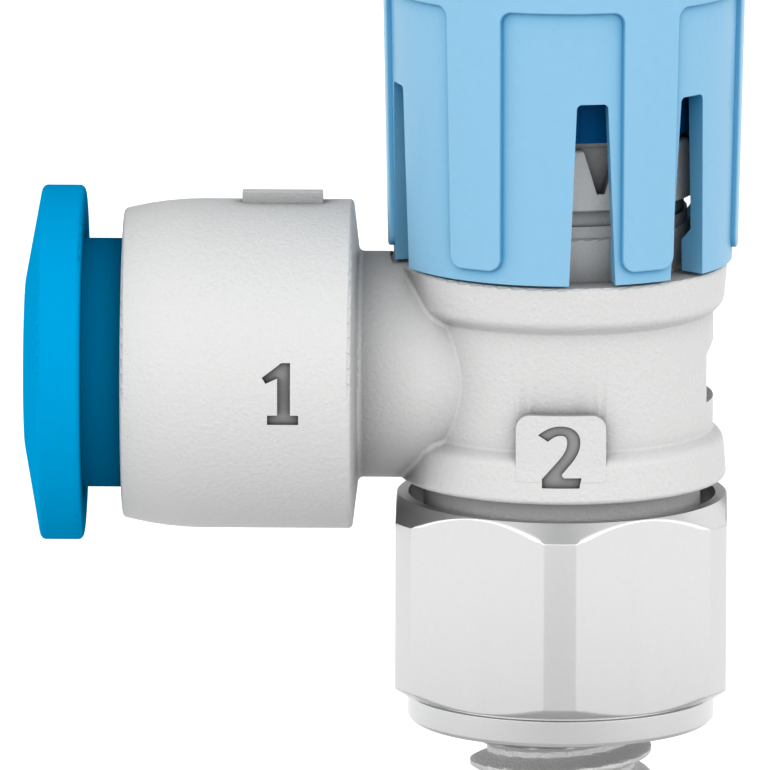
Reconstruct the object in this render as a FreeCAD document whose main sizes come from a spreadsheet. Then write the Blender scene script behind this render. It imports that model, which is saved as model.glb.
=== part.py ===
# One-way flow control valve: an M5 stud below, a swivelling elbow housing with a push-in
# socket for 4 mm tube towards -X, and a push-to-lock adjusting knob on top.
# Millimetres. +Z runs up the stud, and z = 0 is the seat under the stud's collar.
import FreeCAD, Part
import math
import os

import Sketcher

# Driving dimensions: name, value, meaning

SIZES = [
    # Stud
    ("thread_radius", 2.5, "half the outer diameter of the M5 thread"),
    ("thread_length", 3.5, "from the seat down to the end of the thread"),
    ("thread_chamfer", 0.4, "lead-in at the thread's end"),
    ("relief_depth", 0.45, "how far the thread relief is turned down"),
    ("relief_height", 0.35, "height of the thread relief under the seat"),
    ("collar_radius", 4.18, "round collar that seats on the port"),
    ("collar_height", 0.72, "height of the collar"),
    ("collar_chamfer", 0.1, "chamfer round the collar's lower edge"),
    ("step_depth", 0.13, "depth of the turned step between collar and hexagon"),
    ("step_height", 0.14, "height of that step"),
    ("hex_flats", 9.0, "width across the spanner flats"),
    ("hex_corner_reach", 0.463, "how far the turned corners stand out beyond the flats"),
    ("hex_height", 5.42, "height of the hexagon"),
    ("hex_end_inset", 0.04, "how far the round end faces lie inside the flats"),
    ("hex_lower_chamfer", 0.33, "height of the chamfers at the hexagon's lower end"),
    ("hex_upper_chamfer", 0.5, "height of the chamfers at the hexagon's upper end"),
    ("bore_radius", 1.1, "air bore through the thread"),
    ("cup_radius", 3.81, "bore of the cup inside the hexagon"),
    ("cup_floor", 1.6, "height of the cup's floor"),
    ("mouth_radius", 4.18, "wider mouth of the cup"),
    ("mouth_depth", 0.85, "depth of that mouth"),
    ("seal_ring_radius", 3.3, "mean radius of the seal under the collar"),
    ("seal_ring_section", 0.4, "thickness of that seal"),
    # Fits
    ("swivel_gap", 0.04, "radial clearance of the housing's spigot in the cup"),
    ("running_gap", 0.04, "radial clearance of a part that turns or slides in a bore"),
    ("seat_gap", 0.01, "clearance round a part that stands still in its seat"),
    ("lip_gap", 0.05, "clearance of a soft sealing lip from its wall"),
    ("end_gap", 0.1, "axial clearance between parts that move"),
    # Swivel seal and retaining ring
    ("swivel_ring_section", 0.74, "thickness of the O-ring on the spigot"),
    ("swivel_ring_height", 3.3, "height of that O-ring's middle"),
    ("wire_section", 0.5, "thickness of the retaining ring's wire"),
    ("wire_height", 4.7, "height of the retaining ring's middle"),
    ("wire_opening", 36, "degrees left open in the retaining ring"),
    # Housing, upright part
    ("housing_bottom", 6.75, "underside of the lower flange"),
    ("flange_radius", 4.48, "largest radius of both flanges"),
    ("flange_draft", 0.09, "how much the flanges narrow towards the waist"),
    ("flange_foot_round", 0.15, "rounding under the lower flange"),
    ("flange_shoulder_round", 0.4, "rounding where the flanges turn in to the waist"),
    ("lower_flange_top", 7.86, "height at which the lower flange turns in"),
    ("waist_bottom", 8.13, "height at which the waist begins"),
    ("waist_radius", 4.105, "radius of the waist"),
    ("waist_top_rise", 1.59, "from the port's axis up to the end of the waist"),
    ("upper_flange_rise", 1.87, "from the port's axis up to the upper flange"),
    ("shoulder_rise", 2.93, "from the port's axis up to the top of the upper flange"),
    ("flange_round", 0.07, "rounding of the flanges' outer edges"),
    ("waist_fillet", 0.15, "fillet between waist and flanges"),
    ("collar_neck_radius", 3.45, "lower part of the neck inside the knob"),
    ("collar_neck_rise", 4.11, "from the port's axis up to the top of that lower part"),
    ("collar_step_radius", 3.37, "small step above it"),
    ("collar_step_rise", 4.43, "from the port's axis up to the top of that step"),
    ("neck_radius", 3.28, "neck under the notched ring"),
    ("lock_ring_radius", 3.62, "notched ring on the neck"),
    ("lock_ring_bottom_rise", 4.88, "from the port's axis up to the notched ring"),
    ("lock_ring_top_rise", 6.55, "from the port's axis up to the top of the notched ring"),
    ("lock_ring_round", 0.12, "rounding of the notched ring's upper edge"),
    ("neck_top_rise", 6.74, "from the port's axis up to the top of the neck"),
    ("neck_top_radius", 3.25, "radius of the neck's top face"),
    ("notch_count", 12, "V notches round the ring"),
    ("notch_width", 1.0, "width of a notch at the ring's top"),
    ("notch_foot", 0.22, "width of a notch at its foot"),
    ("notch_depth", 1.2, "depth of a notch"),
    ("notch_reach", 0.42, "how far a notch cuts in from the ring's outside"),
    ("notch_turn", 16.7, "degrees from the front to the first notch"),
    ("chamber_radius", 2.6, "inner bore of the housing"),
    ("chamber_rise", 1.73, "from the port's axis up to the top of that bore"),
    ("spigot_bottom", 1.75, "lower end of the housing's spigot"),
    ("plate_width", 2.44, "flat plate on the front of the lower flange"),
    ("plate_top", 9.2, "top of that plate"),
    ("plate_round", 0.4, "rounding of the plate's upper corners"),
    ("pocket_width", 2.4, "shallow pocket on the side away from the port"),
    ("pocket_drop", 0.79, "from the port's axis down to the foot of that pocket"),
    ("pocket_rise", 0.53, "from the port's axis up to the top of the pocket's floor"),
    ("pocket_slope", 0.28, "height over which the pocket runs out above that"),
    ("pocket_floor", 3.92, "how far the pocket's floor is from the axis"),
    # Housing, port
    ("port_height", 9.77, "height of the port's axis"),
    ("port_wall", 0.53, "wall between the tube seal and the port housing's back edge"),
    ("port_back", 5.7, "from the upright axis to the port housing's back edge"),
    ("port_back_draft", 0.17, "lean of the port housing's back face"),
    ("port_radius", 4.484, "radius of the port housing"),
    ("port_mouth_radius", 4.2, "radius of the port housing at its mouth"),
    ("crown_length", 1.2, "from the mouth to where the two tangents of the crown meet"),
    ("crown_radius", 8.5, "radius of the crown"),
    ("port_mouth_round", 0.12, "rounding of the mouth's outer edge"),
    ("port_back_round", 0.12, "rounding of the back's outer edge"),
    ("port_neck_radius", 3.08, "round neck between port and upright body"),
    ("port_neck_fillet", 0.15, "fillet where the neck leaves the port housing"),
    ("saddle_fillet", 0.14, "fillet where the neck meets the upright body"),
    ("tab_inset", 0.82, "from the port housing's back edge to the tab on its top"),
    ("tab_length", 2.19, "length of that tab"),
    ("tab_width", 0.55, "width of that tab"),
    ("tab_height", 0.28, "how far the tab stands proud"),
    # Push-in cartridge, depths from the port's mouth
    ("tube_radius", 2.0, "half the diameter of the tube"),
    ("tube_gap", 0.05, "radial room round the tube in its socket"),
    ("guide_gap", 0.09, "radial room round the tube in the rings before the socket"),
    ("sleeve_radius", 3.85, "outside of the collet sleeve"),
    ("sleeve_inset", 0.12, "how far the sleeve's face lies inside the mouth"),
    ("sleeve_length", 3.28, "length of the collet sleeve"),
    ("sleeve_lip", 0.6, "thickness of the sleeve's outer lip"),
    ("sleeve_bore", 3.72, "bore of the sleeve behind its lip"),
    ("grab_thickness", 0.18, "sheet thickness of the grab ring"),
    ("grab_rim_radius", 3.3, "inner edge of the grab ring's flat rim"),
    ("grab_lean", 0.85, "how far the teeth lean inwards"),
    ("grab_teeth", 10, "teeth on the grab ring"),
    ("grab_slit", 0.3, "width of the slits between teeth"),
    ("support_length", 1.3, "length of the support ring"),
    ("seal_length", 1.0, "length of the tube seal"),
    ("seal_bore_radius", 3.3, "bore that holds the tube seal"),
    ("socket_depth", 7.6, "from the mouth to the shoulder where the tube stops"),
    ("passage_radius", 1.4, "air passage from the tube to the chamber"),
    # Release ring
    ("disc_radius", 4.83, "radius of the release ring's disc"),
    ("disc_gap", 1.07, "from the disc's back to the port's mouth"),
    ("disc_rim", 1.15, "width of the disc's rim"),
    ("disc_rise", 0.46, "how far the face domes out towards its middle"),
    ("disc_flat_radius", 2.3, "radius of the flat middle of the face"),
    ("disc_round", 0.16, "rounding of the disc's edges"),
    ("stem_radius", 3.39, "stem of the release ring"),
    ("catch_height", 0.27, "how far the catch stands out from the stem"),
    ("catch_length", 0.4, "length of the catch"),
    ("nose_radius", 2.6, "outside of the stem's nose"),
    ("nose_depth", 2.35, "from the mouth to the nose's end"),
    ("press_travel", 0.9, "how far the release ring can be pushed in"),
    # Metering sleeve, lip seal and screw
    ("sleeve_foot", 1.85, "lower end of the metering sleeve"),
    ("sleeve_flange", 0.8, "height of its foot flange"),
    ("sleeve_body", 1.6, "radius of its body"),
    ("sleeve_top", 7.6, "top of the metering sleeve"),
    ("throat_radius", 0.75, "radius of the throttle opening"),
    ("throat_length", 1.0, "length of the throttle opening"),
    ("bypass_count", 6, "air slots through the foot flange"),
    ("bypass_width", 0.8, "width of such a slot"),
    ("groove_bottom", 4.0, "lower edge of the groove for the lip seal"),
    ("groove_height", 0.9, "height of that groove"),
    ("groove_depth", 0.3, "depth of that groove"),
    ("lip_height", 0.9, "how far the seal's lip reaches above its foot"),
    ("lip_thickness", 0.25, "thickness of the lip"),
    ("needle_tip_radius", 0.3, "radius of the needle's tip"),
    ("needle_tip_height", 6.2, "height of the needle's tip when closed"),
    ("shank_radius", 0.85, "shank between needle and seal"),
    ("guide_radius", 1.15, "smooth part of the screw"),
    ("guide_rise", 1.43, "from the port's axis up to the lower end of the smooth part when closed"),
    ("screw_ring_section", 0.4, "thickness of the O-ring on the screw"),
    ("screw_ring_rise", 2.23, "from the port's axis up to that O-ring's middle when closed"),
    ("screw_thread_radius", 1.35, "radius of the screw's fine thread"),
    ("screw_thread_length", 2.0, "length of that thread"),
    ("head_flats", 4.4, "width across the flats of the screw's head"),
    ("head_height", 1.2, "height of the head"),
    ("screw_travel", 1.75, "how far the screw rises from closed to open"),
    # Insert, clip and hub
    ("insert_radius", 2.2, "outside of the threaded insert"),
    ("insert_teeth", 16, "flutes round the insert"),
    ("flute_radius", 0.14, "radius of a flute"),
    ("post_radius", 1.95, "top of the insert, inside the hub"),
    ("clip_rise", 7.63, "from the port's axis up to the underside of the clip"),
    ("clip_thickness", 0.25, "thickness of the clip"),
    ("clip_inner", 1.72, "inner radius of the clip"),
    ("clip_outer", 2.16, "outer radius of the clip"),
    ("clip_opening", 60, "degrees left open in the clip"),
    ("hub_gap", 0.05, "gap between neck and hub"),
    ("hub_radius", 3.5, "hub between its ribs"),
    ("hub_rib_radius", 3.8, "hub over its ribs"),
    ("hub_foot", 1.3, "height of the hub's round foot"),
    ("hub_rib_width", 0.9, "width of a rib"),
    ("hub_rib_count", 6, "ribs round the hub"),
    ("rib_gap", 0.06, "clearance of a rib in its groove"),
    # Knob
    ("knob_bottom_rise", 3.03, "from the port's axis up to the skirt's lower edge when locked"),
    ("knob_height", 10.81, "height of the knob"),
    ("knob_radius", 4.6, "radius of the skirt at its lower edge"),
    ("knob_draft", 0.0218, "how much the radius grows for each millimetre of height"),
    ("knob_top_round", 0.45, "rounding of the knob's upper edge"),
    ("tongue_count", 6, "raised tongues round the knob"),
    ("tongue_turn", -30.05, "degrees from the front to the first tongue"),
    ("tongue_width", 1.56, "width of a tongue at its foot"),
    ("tongue_flare", 0.07, "how much a tongue widens to each side up to the band"),
    ("tongue_rise", 0.15, "how far a tongue stands out"),
    ("tongue_foot", 0.345, "from the skirt's edge up to the tongues"),
    ("tongue_round", 0.36, "rounding of a tongue's lower corners"),
    ("panel_height", 7.47, "from the skirt's edge up to where the panels between tongues end"),
    ("panel_round", 0.3, "rounding of a panel's upper corners"),
    ("tongue_edge_round", 0.06, "rounding of the edges round tongues and panels"),
    ("finger_count", 3, "snap fingers in the skirt"),
    ("finger_turn", 29.0, "degrees from the front to the first finger"),
    ("slot_turn", 18.95, "degrees from a finger's middle to the middle of its slot"),
    ("slot_outer", 0.43, "from the slot's middle to its outer edge"),
    ("slot_inner", 0.42, "from the slot's middle to the finger at the top"),
    ("slot_spread", 0.26, "how much further the finger stands back at the skirt's edge"),
    ("slot_lean", 0.18, "how much further out the slot's outer edge stands at the skirt's edge"),
    ("slot_height", 4.98, "from the skirt's edge up to the end of the slots"),
    ("slot_round", 0.14, "rounding of the slots' upper corners"),
    ("skirt_bore", 4.2, "bore of the skirt"),
    ("bead_radius", 3.86, "inner radius of the bead at the skirt's foot"),
    ("bead_height", 0.85, "height of that bead"),
    ("grip_bore", 3.6, "bore of the knob round the hub"),
    ("grip_margin", 0.2, "room between the hub's foot and the knob when locked"),
    ("knob_roof", 1.25, "thickness of the knob's top"),
    ("dish_radius", 3.3, "shallow dish in the knob's top"),
    ("dish_depth", 0.3, "depth of that dish"),
    ("lift_travel", 1.2, "how far the knob lifts from locked to free"),
]

# Levels counted from the port's axis, and the size that gives each

LEVELS = [
    ("pocket_top", "pocket_rise"),
    ("chamber_top", "chamber_rise"),
    ("waist_top", "waist_top_rise"),
    ("upper_flange_bottom", "upper_flange_rise"),
    ("housing_shoulder", "shoulder_rise"),
    ("collar_neck_top", "collar_neck_rise"),
    ("collar_step_top", "collar_step_rise"),
    ("lock_ring_bottom", "lock_ring_bottom_rise"),
    ("lock_ring_top", "lock_ring_top_rise"),
    ("neck_top", "neck_top_rise"),
    ("guide_bottom", "guide_rise"),
    ("screw_ring_height", "screw_ring_rise"),
    ("clip_height", "clip_rise"),
    ("knob_bottom", "knob_bottom_rise"),
]


# Numbers that remember the cells they come from

class Size:
    """A number with the expression that gives it, so a shape is drawn and bound alike."""

    def __init__(self, value, text):
        self.value = float(value)
        self.text = text

    def __float__(self):
        return self.value

    def __neg__(self):
        return Size(-self.value, f"(0 - {self.text})")

    def __add__(self, other):
        return Size(self.value + float(other), f"({self.text} + {words(other)})")

    def __radd__(self, other):
        return Size(float(other) + self.value, f"({words(other)} + {self.text})")

    def __sub__(self, other):
        return Size(self.value - float(other), f"({self.text} - {words(other)})")

    def __rsub__(self, other):
        return Size(float(other) - self.value, f"({words(other)} - {self.text})")

    def __mul__(self, other):
        return Size(self.value * float(other), f"({self.text} * {words(other)})")

    def __rmul__(self, other):
        return Size(float(other) * self.value, f"({words(other)} * {self.text})")

    def __truediv__(self, other):
        return Size(self.value / float(other), f"({self.text} / {words(other)})")


def words(value):
    """The expression of a size, or a plain number as text."""
    if isinstance(value, Size):
        return value.text
    return repr(float(value))


def sine(angle):
    """Sine of an angle in degrees."""
    return Size(math.sin(math.radians(float(angle))), f"sin({words(angle)} * 1 deg)")


def cosine(angle):
    """Cosine of an angle in degrees."""
    return Size(math.cos(math.radians(float(angle))), f"cos({words(angle)} * 1 deg)")


def make_sheet(doc):
    """Write the driving dimensions to the sheet and return them by name."""
    sheet = doc.addObject("Spreadsheet::Sheet", "sizes")
    for row, (alias, value, meaning) in enumerate(SIZES, start=1):
        sheet.set(f"A{row}", meaning)
        sheet.set(f"B{row}", str(value))
        sheet.setAlias(f"B{row}", alias)
    doc.recompute()
    sizes = {alias: Size(sheet.get(alias), f"sizes.{alias}") for alias, _, _ in SIZES}
    add_levels(sizes)
    return sizes


def add_levels(s):
    """Sizes that follow from others: levels counted from the port's axis, and reaches."""
    for level, rise in LEVELS:
        s[level] = s["port_height"] + s[rise]
    s["pocket_bottom"] = s["port_height"] - s["pocket_drop"]
    s["knob_top"] = s["knob_bottom"] + s["knob_height"]
    s["tongue_bottom"] = s["knob_bottom"] + s["tongue_foot"]
    s["panel_top"] = s["knob_bottom"] + s["panel_height"]
    s["slot_top"] = s["knob_bottom"] + s["slot_height"]
    s["hex_corner_radius"] = s["hex_flats"] / 2 + s["hex_corner_reach"]
    s["hex_end_radius"] = s["hex_flats"] / 2 - s["hex_end_inset"]
    cartridge_length = s["sleeve_inset"] + s["sleeve_length"] + s["support_length"]
    s["port_reach"] = s["port_back"] + s["port_wall"] + s["seal_length"] + cartridge_length
    s["tab_start"] = s["port_back"] + s["tab_inset"]


# Drawing helpers

def bind(target, path, size):
    """Bind one property to the sheet, or set it where it is a plain number."""
    if isinstance(size, Size):
        target.setExpression(path, size.text)


def new_body(doc, label, height=None):
    """A body for one sub-part, lifted to the port's axis where a height is given."""
    body = doc.addObject("PartDesign::Body", label)
    body.Label = label
    if height is not None:
        body.Placement.Base.z = float(height)
        bind(body, "Placement.Base.z", height)
    return body


def new_sketch(body, plane, name, along=0.0, raised=0.0, turned=0.0):
    """A sketch on one of the body's own planes.

    turned swings it about the plane's second axis, in degrees, along then moves it off that
    turned plane, and raised shifts it up the second axis.
    """
    sketch = body.newObject("Sketcher::SketchObject", name)
    origin = next(f for f in body.Origin.OriginFeatures if f.Role == plane)
    sketch.AttachmentSupport = [(origin, "")]
    sketch.MapMode = "FlatFace"
    aside = along * sine(turned)
    ahead = along * cosine(turned)
    turn = FreeCAD.Rotation(FreeCAD.Vector(0, 1, 0), float(turned))
    sketch.AttachmentOffset = FreeCAD.Placement(
        FreeCAD.Vector(float(aside), float(raised), float(ahead)), turn)
    bind(sketch, "AttachmentOffset.Base.x", aside)
    bind(sketch, "AttachmentOffset.Base.y", raised)
    bind(sketch, "AttachmentOffset.Base.z", ahead)
    bind(sketch, "AttachmentOffset.Rotation.Angle", turned)
    return sketch


def pin_point(sketch, geometry, end, corner, name):
    """Hold one point of the sketch at a corner's two distances from the origin."""
    for axis, size in zip("XY", corner):
        label = f"{name}_{axis.lower()}"
        index = sketch.addConstraint(
            Sketcher.Constraint(f"Distance{axis}", -1, 1, geometry, end, float(size)))
        sketch.renameConstraint(index, label)
        bind(sketch, f"Constraints.{label}", size)


def corner_arc(before, corner, after, radius):
    """Tangent points and middle of the arc that rounds a corner."""
    here = FreeCAD.Vector(float(corner[0]), float(corner[1]), 0)
    back = (FreeCAD.Vector(float(before[0]), float(before[1]), 0) - here).normalize()
    ahead = (FreeCAD.Vector(float(after[0]), float(after[1]), 0) - here).normalize()
    half = back.getAngle(ahead) / 2
    reach = radius / math.tan(half)
    inward = (back + ahead).normalize()
    middle = here + inward * (radius / math.sin(half) - radius)
    return here + back * reach, middle, here + ahead * reach


def draw_outline(sketch, corners, name="outline"):
    """Draw a closed outline and bind it to the sheet.

    Each corner is (x, y), or (x, y, radius) where it is rounded: then the two lines pass
    through the corner's own point and a tangent arc joins them.
    """
    count = len(corners)
    starts = []
    ends = []
    arcs = {}
    for i, corner in enumerate(corners):
        spot = FreeCAD.Vector(float(corner[0]), float(corner[1]), 0)
        if len(corner) == 3:
            arc = corner_arc(corners[i - 1], corner, corners[(i + 1) % count], float(corner[2]))
            arcs[i] = arc
            ends.append(arc[0])
            starts.append(arc[2])
        else:
            ends.append(spot)
            starts.append(spot)
    lines = [sketch.addGeometry(Part.LineSegment(starts[i], ends[(i + 1) % count]), False)
             for i in range(count)]
    for i, corner in enumerate(corners):
        before = lines[i - 1]
        after = lines[i]
        label = f"{name}_{i}"
        if i not in arcs:
            sketch.addConstraint(Sketcher.Constraint("Coincident", before, 2, after, 1))
            pin_point(sketch, after, 1, corner, label)
            continue
        spot = FreeCAD.Vector(float(corner[0]), float(corner[1]), 0)
        point = sketch.addGeometry(Part.Point(spot), True)
        arc = sketch.addGeometry(Part.Arc(*arcs[i]), False)
        first = 1 if (sketch.getPoint(arc, 1) - ends[i]).Length < 1e-6 else 2
        pin_point(sketch, point, 1, corner[:2], label)
        sketch.addConstraint(Sketcher.Constraint("PointOnObject", point, 1, before))
        sketch.addConstraint(Sketcher.Constraint("PointOnObject", point, 1, after))
        sketch.addConstraint(Sketcher.Constraint("Tangent", before, 2, arc, first))
        sketch.addConstraint(Sketcher.Constraint("Tangent", arc, 3 - first, after, 1))
        index = sketch.addConstraint(Sketcher.Constraint("Radius", arc, float(corner[2])))
        sketch.renameConstraint(index, f"{label}_radius")
        bind(sketch, f"Constraints.{label}_radius", corner[2])


def draw_circle(sketch, radius, name="circle", centre=(0, 0)):
    """Draw a circle bound to the sheet."""
    spot = FreeCAD.Vector(float(centre[0]), float(centre[1]), 0)
    circle = sketch.addGeometry(
        Part.Circle(spot, FreeCAD.Vector(0, 0, 1), float(radius)), False)
    pin_point(sketch, circle, 3, centre, name)
    index = sketch.addConstraint(Sketcher.Constraint("Radius", circle, float(radius)))
    sketch.renameConstraint(index, f"{name}_radius")
    bind(sketch, f"Constraints.{name}_radius", radius)


def turn_solid(body, name, corners, axis="V_Axis", cut=False, raised=0.0):
    """Turn an outline in the XZ plane about the upright axis, or about X with H_Axis."""
    sketch = new_sketch(body, "XZ_Plane", f"{name}_outline", raised=raised)
    draw_outline(sketch, corners)
    feature = body.newObject("PartDesign::Groove" if cut else "PartDesign::Revolution", name)
    feature.Profile = sketch
    feature.ReferenceAxis = (sketch, [axis])
    feature.Angle = 360
    sketch.Visibility = False
    return feature


def push_solid(body, name, sketch, length, cut=False, reverse=False):
    """Pad or pocket a sketch by a length; a pocket goes against the sketch's normal."""
    feature = body.newObject("PartDesign::Pocket" if cut else "PartDesign::Pad", name)
    feature.Profile = sketch
    feature.Type = "Length"
    feature.Length = float(length)
    bind(feature, "Length", length)
    feature.Reversed = reverse
    sketch.Visibility = False
    return feature


def repeat_round(body, name, feature, count, axis):
    """Repeat a feature evenly about an axis, which is (object, sub-element)."""
    pattern = body.newObject("PartDesign::PolarPattern", name)
    pattern.Originals = [feature]
    pattern.Axis = axis
    pattern.Angle = 360
    pattern.Occurrences = int(float(count))
    bind(pattern, "Occurrences", count)
    body.Tip = pattern
    return pattern


def upright(body):
    """The body's own Z axis, for a pattern."""
    return (next(f for f in body.Origin.OriginFeatures if f.Role == "Z_Axis"), [""])


def lengthwise(body):
    """The body's own X axis, for a pattern."""
    return (next(f for f in body.Origin.OriginFeatures if f.Role == "X_Axis"), [""])


def o_ring(doc, label, mean_radius, section, height, opening=None):
    """A ring of round section about the upright axis, split where an opening is given."""
    ring = doc.addObject("Part::Torus", label)
    ring.Label = label
    ring.Radius1 = float(mean_radius)
    bind(ring, "Radius1", mean_radius)
    ring.Radius2 = float(section) / 2
    bind(ring, "Radius2", section / 2)
    if opening is not None:
        bind(ring, "Angle3", 360 - opening)
    bind(ring, "Placement.Base.z", height)
    return ring


def hexagon(flats):
    """Corners of a hexagon with two flats facing +X and -X."""
    half = flats / 2
    rise = math.tan(math.radians(30))
    point = 1 / math.cos(math.radians(30))
    return [
        (half, half * rise),
        (0, half * point),
        (-half, half * rise),
        (-half, -(half * rise)),
        (0, -(half * point)),
        (half, -(half * rise)),
    ]


# Stud and what stays with it

def seal_groove(s):
    """Half width and depth of the groove for the seal under the collar."""
    return s["seal_ring_section"] / 2 + s["seat_gap"], s["seal_ring_section"] + s["seat_gap"]


def make_stud(doc, s):
    """Turned stud: thread, collar, and a hexagon bored out as a cup for the housing."""
    body = new_body(doc, "threaded_stud")
    relief = s["thread_radius"] - s["relief_depth"]
    step_top = s["collar_height"] + s["step_height"]
    hex_top = step_top + s["hex_height"]
    half, depth = seal_groove(s)
    wire = s["wire_section"] / 2 + s["swivel_gap"]
    turn_solid(body, "turned_blank", [
        (s["bore_radius"], -s["thread_length"]),
        (s["thread_radius"] - s["thread_chamfer"], -s["thread_length"]),
        (s["thread_radius"], s["thread_chamfer"] - s["thread_length"]),
        (s["thread_radius"], -s["relief_height"]),
        (relief, -s["relief_height"]),
        (relief, 0),
        (s["seal_ring_radius"] - half, 0),
        (s["seal_ring_radius"] - half, depth),
        (s["seal_ring_radius"] + half, depth),
        (s["seal_ring_radius"] + half, 0),
        (s["collar_radius"] - s["collar_chamfer"], 0),
        (s["collar_radius"], s["collar_chamfer"]),
        (s["collar_radius"], s["collar_height"]),
        (s["collar_radius"] - s["step_depth"], s["collar_height"]),
        (s["collar_radius"] - s["step_depth"], step_top),
        (s["hex_end_radius"], step_top),
        (s["hex_corner_radius"], step_top + s["hex_lower_chamfer"]),
        (s["hex_corner_radius"], hex_top - s["hex_upper_chamfer"]),
        (s["hex_end_radius"], hex_top),
        (s["mouth_radius"], hex_top),
        (s["mouth_radius"], hex_top - s["mouth_depth"]),
        (s["cup_radius"], hex_top - s["mouth_depth"]),
        (s["cup_radius"], s["wire_height"] + wire),
        (s["cup_radius"] + wire, s["wire_height"] + wire),
        (s["cup_radius"] + wire, s["wire_height"] - wire),
        (s["cup_radius"], s["wire_height"] - wire),
        (s["cup_radius"], s["cup_floor"]),
        (s["bore_radius"], s["cup_floor"]),
    ])
    flats = new_sketch(body, "XY_Plane", "flats_outline", along=step_top)
    draw_outline(flats, hexagon(s["hex_flats"]), "flat")
    draw_circle(flats, s["hex_corner_radius"] * 1.2, "around")
    push_solid(body, "spanner_flats", flats, s["hex_height"], cut=True, reverse=True)
    return body


def make_stud_rings(doc, s):
    """Seal under the collar, and the wire ring that holds the housing in the cup."""
    section = s["seal_ring_section"]
    seal = o_ring(doc, "port_seal_ring", s["seal_ring_radius"], section,
                  section / 2 + s["seat_gap"] / 2)
    wire = o_ring(doc, "retaining_ring", s["cup_radius"], s["wire_section"],
                  s["wire_height"], s["wire_opening"])
    return [seal, wire]


# Housing

def make_housing(doc, s):
    """Moulded elbow: upright body with neck and spigot, and the round port housing."""
    body = new_body(doc, "housing")
    spigot = s["cup_radius"] - s["swivel_gap"]
    edge = s["flange_round"]
    inner = s["flange_radius"] - s["flange_draft"]
    turn_solid(body, "upright_body", [
        (0, s["spigot_bottom"]),
        (spigot, s["spigot_bottom"]),
        (spigot, s["housing_bottom"]),
        (s["flange_radius"], s["housing_bottom"], s["flange_foot_round"]),
        (inner, s["lower_flange_top"], s["flange_shoulder_round"]),
        (s["waist_radius"], s["waist_bottom"], s["waist_fillet"]),
        (s["waist_radius"], s["waist_top"], s["waist_fillet"]),
        (inner, s["upper_flange_bottom"], s["flange_shoulder_round"]),
        (s["flange_radius"], s["housing_shoulder"], edge),
        (s["collar_neck_radius"], s["housing_shoulder"]),
        (s["collar_neck_radius"], s["collar_neck_top"], edge),
        (s["collar_step_radius"], s["collar_neck_top"]),
        (s["collar_step_radius"], s["collar_step_top"]),
        (s["neck_radius"], s["collar_step_top"]),
        (s["neck_radius"], s["lock_ring_bottom"]),
        (s["lock_ring_radius"], s["lock_ring_bottom"], edge),
        (s["lock_ring_radius"], s["lock_ring_top"], s["lock_ring_round"]),
        (s["neck_top_radius"], s["lock_ring_top"]),
        (s["neck_top_radius"], s["neck_top"]),
        (0, s["neck_top"]),
    ])
    add_plate(body, s)
    cut_side_pocket(body, s)
    add_port(body, s)
    round_saddle(body, s)
    clear_skirt(body, s)
    add_tab(body, s)
    cut_notches(body, s)
    bore_housing(body, s)
    return body


def add_plate(body, s):
    """Plate that rises from the front of the lower flange, trimmed to the flange's outside."""
    half = s["plate_width"] / 2
    foot = s["housing_bottom"] + s["flange_foot_round"]
    middle = (foot + s["lower_flange_top"]) / 2
    inner = s["flange_radius"] - s["flange_draft"]
    front = new_sketch(body, "XZ_Plane", "plate_outline")
    draw_outline(front, [
        (-half, middle),
        (half, middle),
        (half, s["plate_top"], s["plate_round"]),
        (-half, s["plate_top"], s["plate_round"]),
    ])
    push_solid(body, "number_plate", front, s["flange_radius"] * 1.2)
    clear = s["flange_radius"] * 1.5
    turn_solid(body, "plate_trim", [
        (s["flange_radius"] - s["flange_draft"] / 2, middle),
        (clear, middle),
        (clear, s["plate_top"] + edge_margin(s)),
        (inner, s["plate_top"] + edge_margin(s)),
        (inner, s["lower_flange_top"]),
    ], cut=True)


def edge_margin(s):
    """A cutter's overshoot past the face that it cuts."""
    return s["end_gap"] * 2


def cut_side_pocket(body, s):
    """Shallow pocket on the side away from the port, running out above."""
    half = s["pocket_width"] / 2
    high = s["pocket_top"] + s["pocket_slope"]
    outside = s["flange_radius"] * 1.2
    side = new_sketch(body, "XZ_Plane", "pocket_outline", along=-half)
    draw_outline(side, [
        (s["pocket_floor"], s["pocket_bottom"]),
        (outside, s["pocket_bottom"]),
        (outside, high),
        (s["waist_radius"], high),
        (s["pocket_floor"], s["pocket_top"]),
    ])
    push_solid(body, "side_pocket", side, s["pocket_width"], cut=True, reverse=True)


def add_port(body, s):
    """Port housing with its crowned outside, and the round neck that carries it."""
    turn_solid(body, "port_housing", [
        (0, 0),
        (-s["port_reach"], 0),
        (-s["port_reach"], s["port_mouth_radius"], s["port_mouth_round"]),
        (s["crown_length"] - s["port_reach"], s["port_radius"], s["crown_radius"]),
        (-s["port_back"], s["port_radius"], s["port_back_round"]),
        (s["port_back_draft"] - s["port_back"], s["port_neck_radius"], s["port_neck_fillet"]),
        (0, s["port_neck_radius"]),
    ], axis="H_Axis", raised=s["port_height"])


def saddle_edges(shape, s):
    """Names of the edges where the round neck runs into the upright body."""
    names = []
    neck = float(s["port_neck_radius"])
    limit = -float(s["port_back"]) + 0.3
    for number, edge in enumerate(shape.Edges, start=1):
        points = edge.discretize(7)
        on_neck = all(
            abs(math.hypot(p.y, p.z - float(s["port_height"])) - neck) < 1e-3 for p in points)
        if on_neck and all(limit < p.x < -0.5 for p in points):
            names.append(f"Edge{number}")
    return names


def round_saddle(body, s):
    """Fillet along the line where the neck meets waist and flanges."""
    body.Document.recompute()
    base = body.Tip
    fillet = body.newObject("PartDesign::Fillet", "saddle")
    fillet.Base = (base, saddle_edges(base.Shape, s))
    fillet.Radius = float(s["saddle_fillet"])
    bind(fillet, "Radius", s["saddle_fillet"])


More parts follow.
